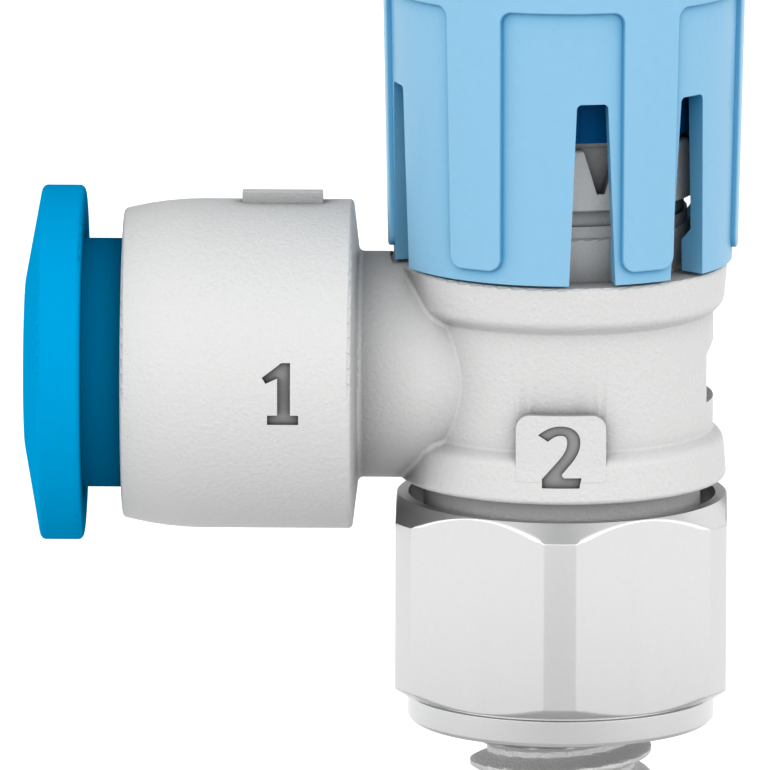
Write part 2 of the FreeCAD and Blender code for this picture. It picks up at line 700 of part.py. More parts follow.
def clear_skirt(body, s):
    """Take the neck down to the shoulder's level where the knob's skirt stands over it."""
    reach = s["knob_radius"] + s["end_gap"]
    high = s["port_height"] + s["port_neck_radius"] + edge_margin(s)
    turn_solid(body, "skirt_seat", [
        (s["collar_neck_radius"], s["housing_shoulder"]),
        (reach, s["housing_shoulder"]),
        (reach, high),
        (s["collar_neck_radius"], high),
    ], cut=True)


def add_tab(body, s):
    """Small raised tab on top of the port housing."""
    half = s["tab_width"] / 2
    top = new_sketch(body, "XY_Plane", "tab_outline",
                     along=s["port_height"] + s["port_radius"] - s["tab_width"] / 4)
    draw_outline(top, [
        (-s["tab_start"] - s["tab_length"], -half),
        (-s["tab_start"], -half),
        (-s["tab_start"], half),
        (-s["tab_start"] - s["tab_length"], half),
    ])
    push_solid(body, "top_tab", top, s["tab_height"] + s["tab_width"] / 4)


def cut_notches(body, s):
    """V notches in the ring that the knob's lock would engage."""
    half = s["notch_width"] / 2
    foot = s["notch_foot"] / 2
    top = s["lock_ring_top"] + edge_margin(s) / 4
    low = s["lock_ring_top"] - s["notch_depth"]
    reach = s["lock_ring_radius"] - s["notch_reach"]
    front = new_sketch(body, "XZ_Plane", "notch_outline", along=reach, turned=s["notch_turn"])
    draw_outline(front, [
        (-half, top),
        (-foot, low),
        (foot, low),
        (half, top),
    ])
    notch = push_solid(body, "notch", front, s["notch_reach"] * 2, cut=True, reverse=True)
    repeat_round(body, "notches", notch, s["notch_count"], upright(body))


def bore_housing(body, s):
    """Bores, and the grooves for the O-ring and the retaining ring on the spigot."""
    low = s["spigot_bottom"] - edge_margin(s)
    turn_solid(body, "chamber", [
        (0, low),
        (s["chamber_radius"], low),
        (s["chamber_radius"], s["chamber_top"]),
        (s["insert_radius"] + s["seat_gap"], s["chamber_top"]),
        (s["insert_radius"] + s["seat_gap"], s["neck_top"] + edge_margin(s)),
        (0, s["neck_top"] + edge_margin(s)),
    ], cut=True)
    ring = s["swivel_ring_section"]
    spigot = s["cup_radius"] - s["swivel_gap"]
    floor = spigot_ring_radius(s) - ring / 2 - s["seat_gap"]
    half = ring / 2 + s["seat_gap"]
    turn_solid(body, "ring_groove", [
        (floor, s["swivel_ring_height"] - half),
        (spigot + s["end_gap"], s["swivel_ring_height"] - half),
        (spigot + s["end_gap"], s["swivel_ring_height"] + half),
        (floor, s["swivel_ring_height"] + half),
    ], cut=True)
    wire = s["wire_section"] / 2 + s["end_gap"]
    turn_solid(body, "wire_groove", [
        (s["cup_radius"] - wire, s["wire_height"] - wire),
        (spigot + s["end_gap"], s["wire_height"] - wire),
        (spigot + s["end_gap"], s["wire_height"] + wire),
        (s["cup_radius"] - wire, s["wire_height"] + wire),
    ], cut=True)
    mouth = -s["port_reach"] - edge_margin(s)
    seat = s["sleeve_radius"] + s["seat_gap"]
    tube = s["tube_radius"] + s["tube_gap"]
    spot = cartridge(s)
    turn_solid(body, "port_bores", [
        (mouth, 0),
        (mouth, seat),
        (spot["support_end"] + s["seat_gap"], seat),
        (spot["support_end"] + s["seat_gap"], s["seal_bore_radius"]),
        (spot["seal_end"] + s["seat_gap"], s["seal_bore_radius"]),
        (spot["seal_end"] + s["seat_gap"], tube),
        (s["socket_depth"] - s["port_reach"], tube),
        (s["socket_depth"] - s["port_reach"], s["passage_radius"]),
        (0, s["passage_radius"]),
        (0, 0),
    ], axis="H_Axis", cut=True, raised=s["port_height"])


def spigot_ring_radius(s):
    """Mean radius of the O-ring between spigot and cup."""
    return s["cup_radius"] - s["swivel_gap"] / 2 - s["swivel_ring_section"] / 2


def make_swivel_ring(doc, s):
    """O-ring that seals the housing's spigot in the stud's cup."""
    return o_ring(doc, "swivel_o_ring", spigot_ring_radius(s), s["swivel_ring_section"],
                  s["swivel_ring_height"])


# Push-in cartridge

def cartridge(s):
    """Where each piece of the push-in cartridge starts and ends along X."""
    spot = {"sleeve_start": s["sleeve_inset"] - s["port_reach"]}
    spot["sleeve_end"] = spot["sleeve_start"] + s["sleeve_length"]
    spot["grab_start"] = spot["sleeve_end"] + s["seat_gap"]
    spot["grab_end"] = spot["grab_start"] + s["grab_thickness"]
    spot["support_start"] = spot["grab_end"] + s["seat_gap"]
    spot["support_end"] = spot["support_start"] + s["support_length"]
    spot["seal_start"] = spot["support_end"] + s["seat_gap"]
    spot["seal_end"] = spot["seal_start"] + s["seal_length"]
    return spot


def make_collet_sleeve(doc, s):
    """Sleeve pressed into the port; its lip holds the release ring's catch."""
    body = new_body(doc, "collet_sleeve", s["port_height"])
    spot = cartridge(s)
    lip = s["stem_radius"] + s["running_gap"]
    turn_solid(body, "sleeve", [
        (spot["sleeve_start"], lip),
        (spot["sleeve_start"], s["sleeve_radius"]),
        (spot["sleeve_end"], s["sleeve_radius"]),
        (spot["sleeve_end"], s["sleeve_bore"]),
        (spot["sleeve_start"] + s["sleeve_lip"], s["sleeve_bore"]),
        (spot["sleeve_start"] + s["sleeve_lip"], lip),
    ], axis="H_Axis")
    return body


def make_grab_ring(doc, s):
    """Toothed steel ring that holds the tube, drawn with its teeth pushed open."""
    body = new_body(doc, "grab_ring", s["port_height"])
    spot = cartridge(s)
    tube = s["tube_radius"] + s["guide_gap"]
    tip = spot["grab_start"] + s["grab_lean"]
    turn_solid(body, "dished_ring", [
        (spot["grab_start"], s["grab_rim_radius"]),
        (spot["grab_start"], s["sleeve_radius"]),
        (spot["grab_end"], s["sleeve_radius"]),
        (spot["grab_end"], s["grab_rim_radius"]),
        (tip + s["grab_thickness"], tube),
        (tip, tube),
    ], axis="H_Axis")
    half = s["grab_slit"] / 2
    front = new_sketch(body, "YZ_Plane", "slit_outline",
                       along=spot["grab_start"] - s["end_gap"])
    draw_outline(front, [
        (-half, 0),
        (half, 0),
        (half, s["grab_rim_radius"] - s["end_gap"]),
        (-half, s["grab_rim_radius"] - s["end_gap"]),
    ])
    slit = push_solid(body, "slit", front, s["grab_lean"] * 2, cut=True, reverse=True)
    repeat_round(body, "slits", slit, s["grab_teeth"], lengthwise(body))
    return body


def make_support_ring(doc, s):
    """Ring that backs the grab ring and keeps the tube in line."""
    body = new_body(doc, "support_ring", s["port_height"])
    spot = cartridge(s)
    tube = s["tube_radius"] + s["guide_gap"]
    turn_solid(body, "support", [
        (spot["support_start"], s["grab_rim_radius"]),
        (spot["support_start"], s["sleeve_radius"]),
        (spot["support_end"], s["sleeve_radius"]),
        (spot["support_end"], tube),
        (spot["support_start"] + s["grab_lean"] + edge_margin(s), tube),
    ], axis="H_Axis")
    return body


def make_tube_seal(doc, s):
    """Rubber seal round the tube, with a lip towards the pressure."""
    body = new_body(doc, "tube_seal", s["port_height"])
    spot = cartridge(s)
    tube = s["tube_radius"] + s["guide_gap"]
    wall = s["seal_bore_radius"] - s["seat_gap"]
    middle = (tube + wall) / 2
    third = s["seal_length"] / 3
    turn_solid(body, "seal", [
        (spot["seal_start"], tube + third / 2),
        (spot["seal_start"] + third / 2, tube),
        (spot["seal_end"], tube),
        (spot["seal_end"], middle - third / 3),
        (spot["seal_end"] - third, middle),
        (spot["seal_end"], middle + third / 3),
        (spot["seal_end"], wall),
        (spot["seal_start"], wall),
    ], axis="H_Axis")
    return body


def make_release_ring(doc, s):
    """Domed button with a stem: pushed in, its nose spreads the grab ring's teeth."""
    body = new_body(doc, "release_ring", s["port_height"])
    spot = cartridge(s)
    bore = s["tube_radius"] + s["guide_gap"]
    back = -s["port_reach"] - s["disc_gap"]
    rim = back - s["disc_rim"]
    face = rim - s["disc_rise"]
    lead = s["disc_flat_radius"] - bore
    catch = spot["sleeve_start"] + s["sleeve_lip"] + s["end_gap"]
    nose = s["nose_depth"] - s["port_reach"]
    turn_solid(body, "button", [
        (face + lead, bore),
        (face, s["disc_flat_radius"], s["disc_round"] / 2),
        (rim, s["disc_radius"], s["disc_round"]),
        (back, s["disc_radius"], s["disc_round"]),
        (back, s["stem_radius"]),
        (catch, s["stem_radius"]),
        (catch, s["stem_radius"] + s["catch_height"]),
        (catch + s["catch_length"] / 2, s["stem_radius"] + s["catch_height"]),
        (catch + s["catch_length"], s["stem_radius"]),
        (catch + s["catch_length"], s["nose_radius"]),
        (nose - s["end_gap"], s["nose_radius"]),
        (nose, s["nose_radius"] - s["end_gap"]),
        (nose, bore),
    ], axis="H_Axis")
    return body


# Metering parts inside the housing

def make_metering_sleeve(doc, s):
    """Brass sleeve with the throttle opening on top and bypass slots in its foot."""
    body = new_body(doc, "metering_sleeve")
    flange = s["chamber_radius"] - s["seat_gap"]
    flange_top = s["sleeve_foot"] + s["sleeve_flange"]
    funnel = s["throat_length"] / 4
    groove_top = s["groove_bottom"] + s["groove_height"]
    turn_solid(body, "sleeve", [
        (s["bore_radius"], s["sleeve_foot"]),
        (flange, s["sleeve_foot"]),
        (flange, flange_top),
        (s["sleeve_body"], flange_top),
        (s["sleeve_body"], s["groove_bottom"]),
        (s["sleeve_body"] - s["groove_depth"], s["groove_bottom"]),
        (s["sleeve_body"] - s["groove_depth"], groove_top),
        (s["sleeve_body"], groove_top),
        (s["sleeve_body"], s["sleeve_top"]),
        (s["throat_radius"] + funnel, s["sleeve_top"]),
        (s["throat_radius"], s["sleeve_top"] - funnel),
        (s["throat_radius"], s["sleeve_top"] - s["throat_length"]),
        (s["bore_radius"], s["sleeve_top"] - s["throat_length"] - funnel),
    ])
    half = s["bypass_width"] / 2
    top = new_sketch(body, "XY_Plane", "bypass_outline", along=s["sleeve_foot"])
    draw_outline(top, [
        (-half, s["sleeve_body"]),
        (half, s["sleeve_body"]),
        (half, flange + s["end_gap"]),
        (-half, flange + s["end_gap"]),
    ])
    slot = push_solid(body, "bypass", top, s["sleeve_flange"], cut=True, reverse=True)
    repeat_round(body, "bypasses", slot, s["bypass_count"], upright(body))
    return body


def make_check_lip_seal(doc, s):
    """Lip seal on the sleeve: its lip opens for returning air and shuts the other way."""
    body = new_body(doc, "check_lip_seal")
    inner = s["sleeve_body"] - s["groove_depth"] + s["seat_gap"]
    low = s["groove_bottom"] + s["seat_gap"]
    high = s["groove_bottom"] + s["groove_height"] - s["seat_gap"]
    wall = s["chamber_radius"] - s["lip_gap"]
    tip = high + s["lip_height"]
    turn_solid(body, "lip", [
        (inner, low),
        (s["sleeve_body"] + s["lip_thickness"], low),
        (wall, tip - s["lip_thickness"]),
        (wall, tip),
        (wall - s["lip_thickness"] / 2, tip),
        (s["sleeve_body"] + s["lip_thickness"] / 2, high),
        (inner, high),
    ])
    return body


def screw_ring_radius(s):
    """Mean radius of the O-ring on the throttle screw."""
    bore = s["guide_radius"] + s["running_gap"]
    return bore - s["running_gap"] / 2 - s["screw_ring_section"] / 2


def screw_levels(s):
    """Heights along screw and insert that follow from the ring and the travel."""
    step = s["screw_ring_height"] + s["screw_ring_section"] / 2 + s["screw_travel"]
    level = {"insert_step": step, "thread_bottom": step + s["end_gap"]}
    level["thread_top"] = level["thread_bottom"] + s["screw_thread_length"]
    level["post_top"] = level["thread_top"] + s["screw_travel"] + s["end_gap"] * 3
    level["head_bottom"] = level["post_top"] + s["end_gap"]
    level["head_top"] = level["head_bottom"] + s["head_height"]
    level["hub_top"] = level["head_top"] + s["screw_travel"]
    return level


def make_throttle_screw(doc, s):
    """Screw with the throttle's needle below and a hexagonal head that the hub turns."""
    body = new_body(doc, "throttle_screw")
    level = screw_levels(s)
    shoulder = s["sleeve_top"] + s["end_gap"]
    root = s["throat_radius"] - s["lip_gap"]
    half = s["screw_ring_section"] / 2 + s["seat_gap"]
    floor = screw_ring_radius(s) - half
    corner = s["head_flats"] / 2 / math.cos(math.radians(30))
    turn_solid(body, "screw", [
        (0, s["needle_tip_height"]),
        (s["needle_tip_radius"], s["needle_tip_height"]),
        (root, shoulder),
        (s["shank_radius"], shoulder + s["end_gap"]),
        (s["shank_radius"], s["guide_bottom"]),
        (s["guide_radius"], s["guide_bottom"]),
        (s["guide_radius"], s["screw_ring_height"] - half),
        (floor, s["screw_ring_height"] - half),
        (floor, s["screw_ring_height"] + half),
        (s["guide_radius"], s["screw_ring_height"] + half),
        (s["guide_radius"], level["thread_bottom"]),
        (s["screw_thread_radius"], level["thread_bottom"]),
        (s["screw_thread_radius"], level["thread_top"]),
        (s["guide_radius"], level["thread_top"]),
        (s["guide_radius"], level["head_bottom"]),
        (corner, level["head_bottom"]),
        (corner, level["head_top"]),
        (0, level["head_top"]),
    ])
    flats = new_sketch(body, "XY_Plane", "head_outline", along=level["head_bottom"])
    draw_outline(flats, hexagon(s["head_flats"]), "flat")
    draw_circle(flats, corner * 1.2, "around")
    push_solid(body, "head_flats", flats, s["head_height"], cut=True, reverse=True)
    return body


def make_screw_ring(doc, s):
    """O-ring that seals the screw in the insert."""
    return o_ring(doc, "screw_o_ring", screw_ring_radius(s), s["screw_ring_section"],
                  s["screw_ring_height"])


def make_threaded_insert(doc, s):
    """Fluted brass insert in the neck, with the screw's bore and a post for the hub."""
    body = new_body(doc, "threaded_insert")
    level = screw_levels(s)
    bore = s["guide_radius"] + s["running_gap"]
    thread = s["screw_thread_radius"] + s["running_gap"]
    floor = s["clip_inner"] - s["seat_gap"]
    low = s["clip_height"] - s["seat_gap"]
    high = s["clip_height"] + s["clip_thickness"] + s["seat_gap"]
    turn_solid(body, "insert", [
        (bore, s["chamber_top"]),
        (s["insert_radius"], s["chamber_top"]),
        (s["insert_radius"], s["neck_top"]),
        (s["post_radius"], s["neck_top"]),
        (s["post_radius"], low),
        (floor, low),
        (floor, high),
        (s["post_radius"], high),
        (s["post_radius"], level["post_top"]),
        (thread, level["post_top"]),
        (thread, level["insert_step"]),
        (bore, level["insert_step"]),
    ])
    top = new_sketch(body, "XY_Plane", "flute_outline", along=s["chamber_top"])
    draw_circle(top, s["flute_radius"], "flute", (s["insert_radius"], 0))
    flute = push_solid(body, "flute", top, s["neck_top"] - s["chamber_top"], cut=True,
                       reverse=True)
    repeat_round(body, "flutes", flute, s["insert_teeth"], upright(body))
    return body


def make_hub_clip(doc, s):
    """Split flat ring in the insert's groove that keeps the hub down."""
    body = new_body(doc, "hub_clip")
    top = s["clip_height"] + s["clip_thickness"]
    ring = turn_solid(body, "clip", [
        (s["clip_inner"], s["clip_height"]),
        (s["clip_outer"], s["clip_height"]),
        (s["clip_outer"], top),
        (s["clip_inner"], top),
    ])
    bind(ring, "Angle", 360 - s["clip_opening"])
    return body


# Hub and knob

def make_drive_hub(doc, s):
    """Hub that turns with the knob and drives the screw's head, free to let it rise."""
    body = new_body(doc, "drive_hub")
    level = screw_levels(s)
    foot = s["neck_top"] + s["hub_gap"]
    floor = s["clip_height"] - s["end_gap"]
    margin = edge_margin(s)
    turn_solid(body, "hub", [
        (0, foot),
        (s["hub_rib_radius"], foot),
        (s["hub_rib_radius"], foot + s["hub_foot"]),
        (s["hub_radius"], foot + s["hub_foot"]),
        (s["hub_radius"], level["hub_top"]),
        (0, level["hub_top"]),
    ])
    half = s["hub_rib_width"] / 2
    top = new_sketch(body, "XY_Plane", "rib_outline", along=foot)
    draw_outline(top, [
        (-half, 0),
        (half, 0),
        (half, s["hub_rib_radius"]),
        (-half, s["hub_rib_radius"]),
    ])
    rib = push_solid(body, "rib", top, level["hub_top"] - foot)
    repeat_round(body, "ribs", rib, s["hub_rib_count"], upright(body))
    well = new_sketch(body, "XY_Plane", "well_outline", along=floor)
    draw_outline(well, hexagon(s["head_flats"] + s["rib_gap"] * 2), "flat")
    push_solid(body, "well", well, level["hub_top"] - floor, cut=True, reverse=True)
    turn_solid(body, "post_bore", [
        (0, foot - margin),
        (s["post_radius"] + s["running_gap"], foot - margin),
        (s["post_radius"] + s["running_gap"], floor + margin / 2),
        (0, floor + margin / 2),
    ], cut=True)
    return body


def knob_outside(s, height):
    """Radius of the knob's drafted skirt at a height, without the tongues."""
    return s["knob_radius"] + (height - s["knob_bottom"]) * s["knob_draft"]


def make_adjusting_knob(doc, s):
    """Drafted cap with raised tongues, snap fingers between slots, and a ribbed bore."""
    body = new_body(doc, "adjusting_knob")
    rise = s["tongue_rise"]
    turn_solid(body, "cap", [
        (0, s["knob_bottom"]),
        (s["knob_radius"], s["knob_bottom"]),
        (knob_outside(s, s["panel_top"]), s["panel_top"]),
        (knob_outside(s, s["panel_top"]) + rise, s["panel_top"]),
        (knob_outside(s, s["knob_top"]) + rise, s["knob_top"], s["knob_top_round"]),
        (s["dish_radius"] + s["dish_depth"], s["knob_top"]),
        (s["dish_radius"], s["knob_top"] - s["dish_depth"]),
        (0, s["knob_top"] - s["dish_depth"]),
    ])
    add_tongues(body, s)
    round_tongues(body, s)
    hollow_knob(body, s)
    cut_slots(body, s)
    return body


def add_tongues(body, s):
    """Raised tongues with rounded lower corners, trimmed to the band's drafted radius."""
    half = s["tongue_width"] / 2
    wide = half + s["tongue_flare"]
    flare = wide + s["panel_round"] * 1.2
    high = s["panel_top"] + edge_margin(s)
    front = new_sketch(body, "XZ_Plane", "tongue_outline", turned=s["tongue_turn"])
    draw_outline(front, [
        (-half, s["tongue_bottom"], s["tongue_round"]),
        (half, s["tongue_bottom"], s["tongue_round"]),
        (wide, s["panel_top"], s["panel_round"]),
        (flare, s["panel_top"]),
        (flare, high),
        (-flare, high),
        (-flare, s["panel_top"]),
        (-wide, s["panel_top"], s["panel_round"]),
    ])
    tongue = push_solid(body, "tongue", front, s["knob_radius"] * 1.3)
    repeat_round(body, "tongues", tongue, s["tongue_count"], upright(body))
    low = s["tongue_bottom"] - edge_margin(s)
    clear = s["knob_radius"] * 1.6
    turn_solid(body, "tongue_trim", [
        (knob_outside(s, low) + s["tongue_rise"], low),
        (clear, low),
        (clear, high),
        (knob_outside(s, high) + s["tongue_rise"], high),
    ], cut=True)


def raised_edges(shape, s):
    """Names of the edges round tongues and panels, on the raised surface."""
    names = []
    close = 1e-3
    low = float(s["tongue_bottom"]) - close
    high = float(s["panel_top"]) + close
    for number, edge in enumerate(shape.Edges, start=1):
        points = edge.discretize(5)
        rises = [math.hypot(p.x, p.y) - float(knob_outside(s, p.z)) for p in points]
        raised = all(abs(rise - float(s["tongue_rise"])) < close for rise in rises)
        seam = all(abs(p.y) < close for p in points)
        if raised and not seam and all(low < p.z < high for p in points):
            names.append(f"Edge{number}")
    return names


def round_tongues(body, s):
    """Ease the edges round tongues and panels."""
    body.Document.recompute()
    base = body.Tip
    fillet = body.newObject("PartDesign::Fillet", "tongue_edges")
    fillet.Base = (base, raised_edges(base.Shape, s))
    fillet.Radius = float(s["tongue_edge_round"])
    bind(fillet, "Radius", s["tongue_edge_round"])


def hollow_knob(body, s):
    """Skirt bore with its bead, the narrower bore round the hub, and the rib grooves."""
    bead_top = s["knob_bottom"] + s["bead_height"]
    step = s["skirt_bore"] - s["bead_radius"]
    foot_top = s["neck_top"] + s["hub_gap"] + s["hub_foot"]
    grip = foot_top + s["grip_margin"]
    roof = s["knob_top"] - s["knob_roof"]
    margin = edge_margin(s)
    turn_solid(body, "inside", [
        (0, s["knob_bottom"] - margin),
        (s["bead_radius"], s["knob_bottom"] - margin),
        (s["bead_radius"], bead_top),
        (s["skirt_bore"], bead_top + step),
        (s["skirt_bore"], grip),
        (s["grip_bore"], grip),
        (s["grip_bore"], roof),
        (0, roof),
    ], cut=True)
    half = s["hub_rib_width"] / 2 + s["rib_gap"]
    low = new_sketch(body, "XY_Plane", "rib_groove_outline", along=grip - margin)
    draw_outline(low, [
        (-half, 0),
        (half, 0),
        (half, s["hub_rib_radius"] + s["end_gap"]),
        (-half, s["hub_rib_radius"] + s["end_gap"]),
    ])
    groove = push_solid(body, "rib_groove", low, roof - grip + margin, cut=True, reverse=True)
    repeat_round(body, "rib_grooves", groove, s["hub_rib_count"], upright(body))


def cut_slots(body, s):
    """The pair of slots beside each snap finger, mirrored about the finger's middle."""
    low = s["knob_bottom"] - edge_margin(s)
    start = s["skirt_bore"] * 0.7
    for side, name in ((1, "right"), (-1, "left")):
        outer = side * s["slot_outer"]
        inner = -side * s["slot_inner"]
        turn = s["finger_turn"] + side * s["slot_turn"]
        front = new_sketch(body, "XZ_Plane", f"{name}_slot_outline", along=start, turned=turn)
        draw_outline(front, [
            (inner - side * s["slot_spread"], low),
            (outer + side * s["slot_lean"], low),
            (outer, s["slot_top"], s["slot_round"]),
            (inner, s["slot_top"], s["slot_round"]),
        ])
        slot = push_solid(body, f"{name}_slot", front, s["knob_radius"], cut=True, reverse=True)
        repeat_round(body, f"{name}_slots", slot, s["finger_count"], upright(body))


# The document

def check_features(doc):
    """Stop where a feature failed, or where a cut took nothing away."""
    for thing in doc.Objects:
        if "Invalid" in thing.State or "Error" in thing.State:
            raise RuntimeError(f"{thing.Name} failed: {thing.State}")
        if thing.TypeId in ("PartDesign::Pocket", "PartDesign::Groove"):
            if thing.Shape.Volume >= thing.BaseFeature.Shape.Volume:
                raise RuntimeError(f"{thing.Name} cuts nothing")


def check_part(part):
    """Stop where a sub-part has no sound single solid."""
    shape = part.Shape
    if shape.isNull() or not shape.isValid() or len(shape.Solids) != 1:
        raise RuntimeError(f"{part.Label} is not one valid solid")


def main():
    """Build every sub-part, check it and write it."""
    os.makedirs("parts", exist_ok=True)
    doc = FreeCAD.newDocument("flow_control_valve")
    s = make_sheet(doc)
    parts = [make_stud(doc, s), *make_stud_rings(doc, s)]
    makers = (
        make_housing,
        make_swivel_ring,
        make_collet_sleeve,
        make_grab_ring,
        make_support_ring,
        make_tube_seal,
        make_release_ring,
        make_metering_sleeve,
        make_check_lip_seal,
        make_threaded_insert,
        make_throttle_screw,
        make_screw_ring,
        make_hub_clip,
        make_drive_hub,
        make_adjusting_knob,
    )
    parts += [make(doc, s) for make in makers]
    doc.recompute()
    check_features(doc)
    for part in parts:
        check_part(part)
    for part in parts:
        part.Shape.exportStep(f"parts/{part.Label}.step")
        print(f"{part.Label}: {part.Shape.Volume:.3f} cubic mm")


main()
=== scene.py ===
"""Dresses the one-way flow control valve: thread, port numbers, finishes, studio."""

import math

import bmesh
import bpy
import numpy as np
from mathutils import Euler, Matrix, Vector


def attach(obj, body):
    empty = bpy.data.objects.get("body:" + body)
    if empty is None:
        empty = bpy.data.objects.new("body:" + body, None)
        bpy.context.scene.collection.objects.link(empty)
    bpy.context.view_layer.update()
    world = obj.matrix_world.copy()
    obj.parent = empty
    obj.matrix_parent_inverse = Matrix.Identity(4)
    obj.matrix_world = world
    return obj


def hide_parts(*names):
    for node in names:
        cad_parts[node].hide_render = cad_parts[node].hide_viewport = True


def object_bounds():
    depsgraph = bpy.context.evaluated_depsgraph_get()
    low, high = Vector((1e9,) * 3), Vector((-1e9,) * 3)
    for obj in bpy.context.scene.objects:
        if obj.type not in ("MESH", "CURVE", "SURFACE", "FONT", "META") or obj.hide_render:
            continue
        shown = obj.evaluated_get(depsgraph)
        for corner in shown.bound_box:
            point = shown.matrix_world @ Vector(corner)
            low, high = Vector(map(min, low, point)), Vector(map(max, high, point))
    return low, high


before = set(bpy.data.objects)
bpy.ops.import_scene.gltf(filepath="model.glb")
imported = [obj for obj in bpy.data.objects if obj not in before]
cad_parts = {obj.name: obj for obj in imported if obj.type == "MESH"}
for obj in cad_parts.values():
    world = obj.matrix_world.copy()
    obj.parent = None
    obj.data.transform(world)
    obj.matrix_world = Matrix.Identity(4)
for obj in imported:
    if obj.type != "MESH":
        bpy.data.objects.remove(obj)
cad_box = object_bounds()

bl_info = {
    "name": "One-way flow control valve",
    "version": (1, 0, 0),
    "blender": (4, 5, 0),
    "location": "3D View > Sidebar > Valve",
    "description": "Finishes a pneumatic one-way flow control valve around its CAD frame",
    "category": "Object",
}

MM = 0.001

# Corner normals: how far a normal may lean round the axis and how much of it must point away
# from the axis on a turned surface, how alike the two normals must be, and the widest angle
# between normals that are joined, in degrees

TURNED_LEAN = 0.075
TURNED_OUTWARD = 0.05
TURNED_ALIKE = 0.97
JOINED_ANGLE = 35

# Vertices this close are one, in metres

JOINED_WITHIN = 2e-6

# Axes of turned surfaces: a point on the line and its direction, in metres

UPRIGHT = ((0, 0, 0), (0, 0, 1))
PORT_LINE = ((0, 0, 0.00977), (1, 0, 0))

# The stud in millimetres. Its seat is at height 0.

BORE = 1.1
THREAD_END = -3.5
LEAD_IN = 2.1
RELIEF = 2.05
RELIEF_BOTTOM = -0.35
RELIEF_SLOPE = 1.3
SEAT_INNER = 3.09
SEAT_OUTER = 3.51
SEAT_DEPTH = 0.41
COLLAR = 4.18
COLLAR_FOOT = 4.08
COLLAR_CHAMFER = 0.1
COLLAR_TOP = 0.72
UNDERCUT = 4.05
HEX_BOTTOM = 0.86
HEX_END = 4.46
HEX_CORNER = 4.963
HEX_FLAT = 4.5
LOWER_CHAMFER = 1.19
UPPER_CHAMFER = 5.78
HEX_TOP = 6.28
CUP_MOUTH = 4.18
MOUTH_DEPTH = 5.43
CUP = 3.81
WIRE_GROOVE = 4.1
WIRE_TOP = 4.99
WIRE_BOTTOM = 4.41
CUP_FLOOR = 1.6

# How far the corners of the stud's outline are eased, and the edges between the hexagon's
# flats and its turned corners, in millimetres

SHARP = 0.005
FINE = 0.01
EASED = 0.02
EDGE_BLEND = 0.012

# The stud's grid: points on an eased corner, flats, columns on each, where a flat ends as a
# share of its sector, how wide and how strongly the columns crowd there, and the steps in
# which that is added up

CORNER_POINTS = 5
FLATS = 6
COLUMNS_PER_FLAT = 52
CORNER_SHARE = 0.41
CROWD_WIDTH = 0.012
CROWD = 9
SECTOR_STEPS = 2000

# The thread's wave: its start, the shares of a half pitch where the flank begins and ends, and
# the part of the flank that is eased. The margin is its distance from the stud's end in
# millimetres.

THREAD_START = 1.0625
FLANK_START = 0.2
FLANK_END = 0.86
FLANK_EASE = 0.35
THREAD_MARGIN = 0.004

# Port numbers: x and z of each middle, y of the skin that they are sunk into and how far
# before it the cut starts, in metres, and how wide the 2 is beside its drawing

ONE_MIDDLE = (-0.00749, 0.00977)
TWO_MIDDLE = (0.00003, 0.00807)
FIGURE_SKIN = -0.00448
CUT_AHEAD = 0.001
TWO_WIDTH = 0.93

# Materials: how far the painted shade in creases reaches in metres, and the heights between
# which the plating turns from smooth to granular

PAINTED_SHADE_REACH = 0.002
SMOOTH_ABOVE = -0.0003
GRANULAR_BELOW = -0.0005

# Floor in metres: the middle of its dim spot, the distances between which its glow grows, how
# many times lengths across and lengths behind the axis count there, and half its side

DIM_MIDDLE = (0, -0.015, 0)
DIM_RADIUS = 0.02
GLOW_RADIUS = 0.045
ACROSS = 5 / 3
BEHIND = 3
FLOOR_REACH = 3.0

# Light: the cosine at which a bright side starts, and each lamp with its place from the aim
# and its side in metres and its power in watts

BRIGHT_EDGE = 0.3
LAMPS = (
    ("right_rim_light", (0.33, 0.36, 0.28), 0.3, 0.25),
    ("left_rim_light", (-0.33, 0.36, 0.28), 0.3, 0.07))


# Settings

class ValveFinish(bpy.types.PropertyGroup):
    """Colours and grain of the valve's finishes."""

    grey: bpy.props.FloatVectorProperty(
        name="Housing", description="Light grey moulded housing", subtype="COLOR",
        size=3, min=0, max=1, default=(0.465, 0.466, 0.463))
    blue: bpy.props.FloatVectorProperty(
        name="Release ring", description="Blue release ring", subtype="COLOR",
        size=3, min=0, max=1, default=(0.0, 0.215, 0.44))
    pale_blue: bpy.props.FloatVectorProperty(
        name="Knob", description="Light blue adjusting knob", subtype="COLOR",
        size=3, min=0, max=1, default=(0.172, 0.352, 0.5))
    # The hub is the release ring's blue; this darker blue is painted shade of the knob's
    # inside.
    hub_blue_in_painted_shade: bpy.props.FloatVectorProperty(
        name="Hub", description="Deep blue hub inside the knob", subtype="COLOR",
        size=3, min=0, max=1, default=(0.0, 0.052, 0.155))
    nickel: bpy.props.FloatVectorProperty(
        name="Plating", description="Nickel plating of the stud", subtype="COLOR",
        size=3, min=0, max=1, default=(0.57, 0.573, 0.57))
    brass: bpy.props.FloatVectorProperty(
        name="Brass", description="Inner brass pieces", subtype="COLOR",
        size=3, min=0, max=1, default=(0.72, 0.52, 0.26))
    steel: bpy.props.FloatVectorProperty(
        name="Spring steel", description="Grab ring, wire and clip", subtype="COLOR",
        size=3, min=0, max=1, default=(0.55, 0.55, 0.56))
    rubber: bpy.props.FloatVectorProperty(
        name="Rubber", description="Seals", subtype="COLOR",
        size=3, min=0, max=1, default=(0.02, 0.02, 0.021))
    grain: bpy.props.FloatProperty(
        name="Grain", description="Size of the moulded surface's grain",
        unit="LENGTH", default=0.00012, min=0.00002, max=0.001)
    figure_tone: bpy.props.FloatProperty(
        name="Number tone", description="Brightness of the numbers' floors beside the housing",
        subtype="FACTOR", default=0.5, min=0, max=1)


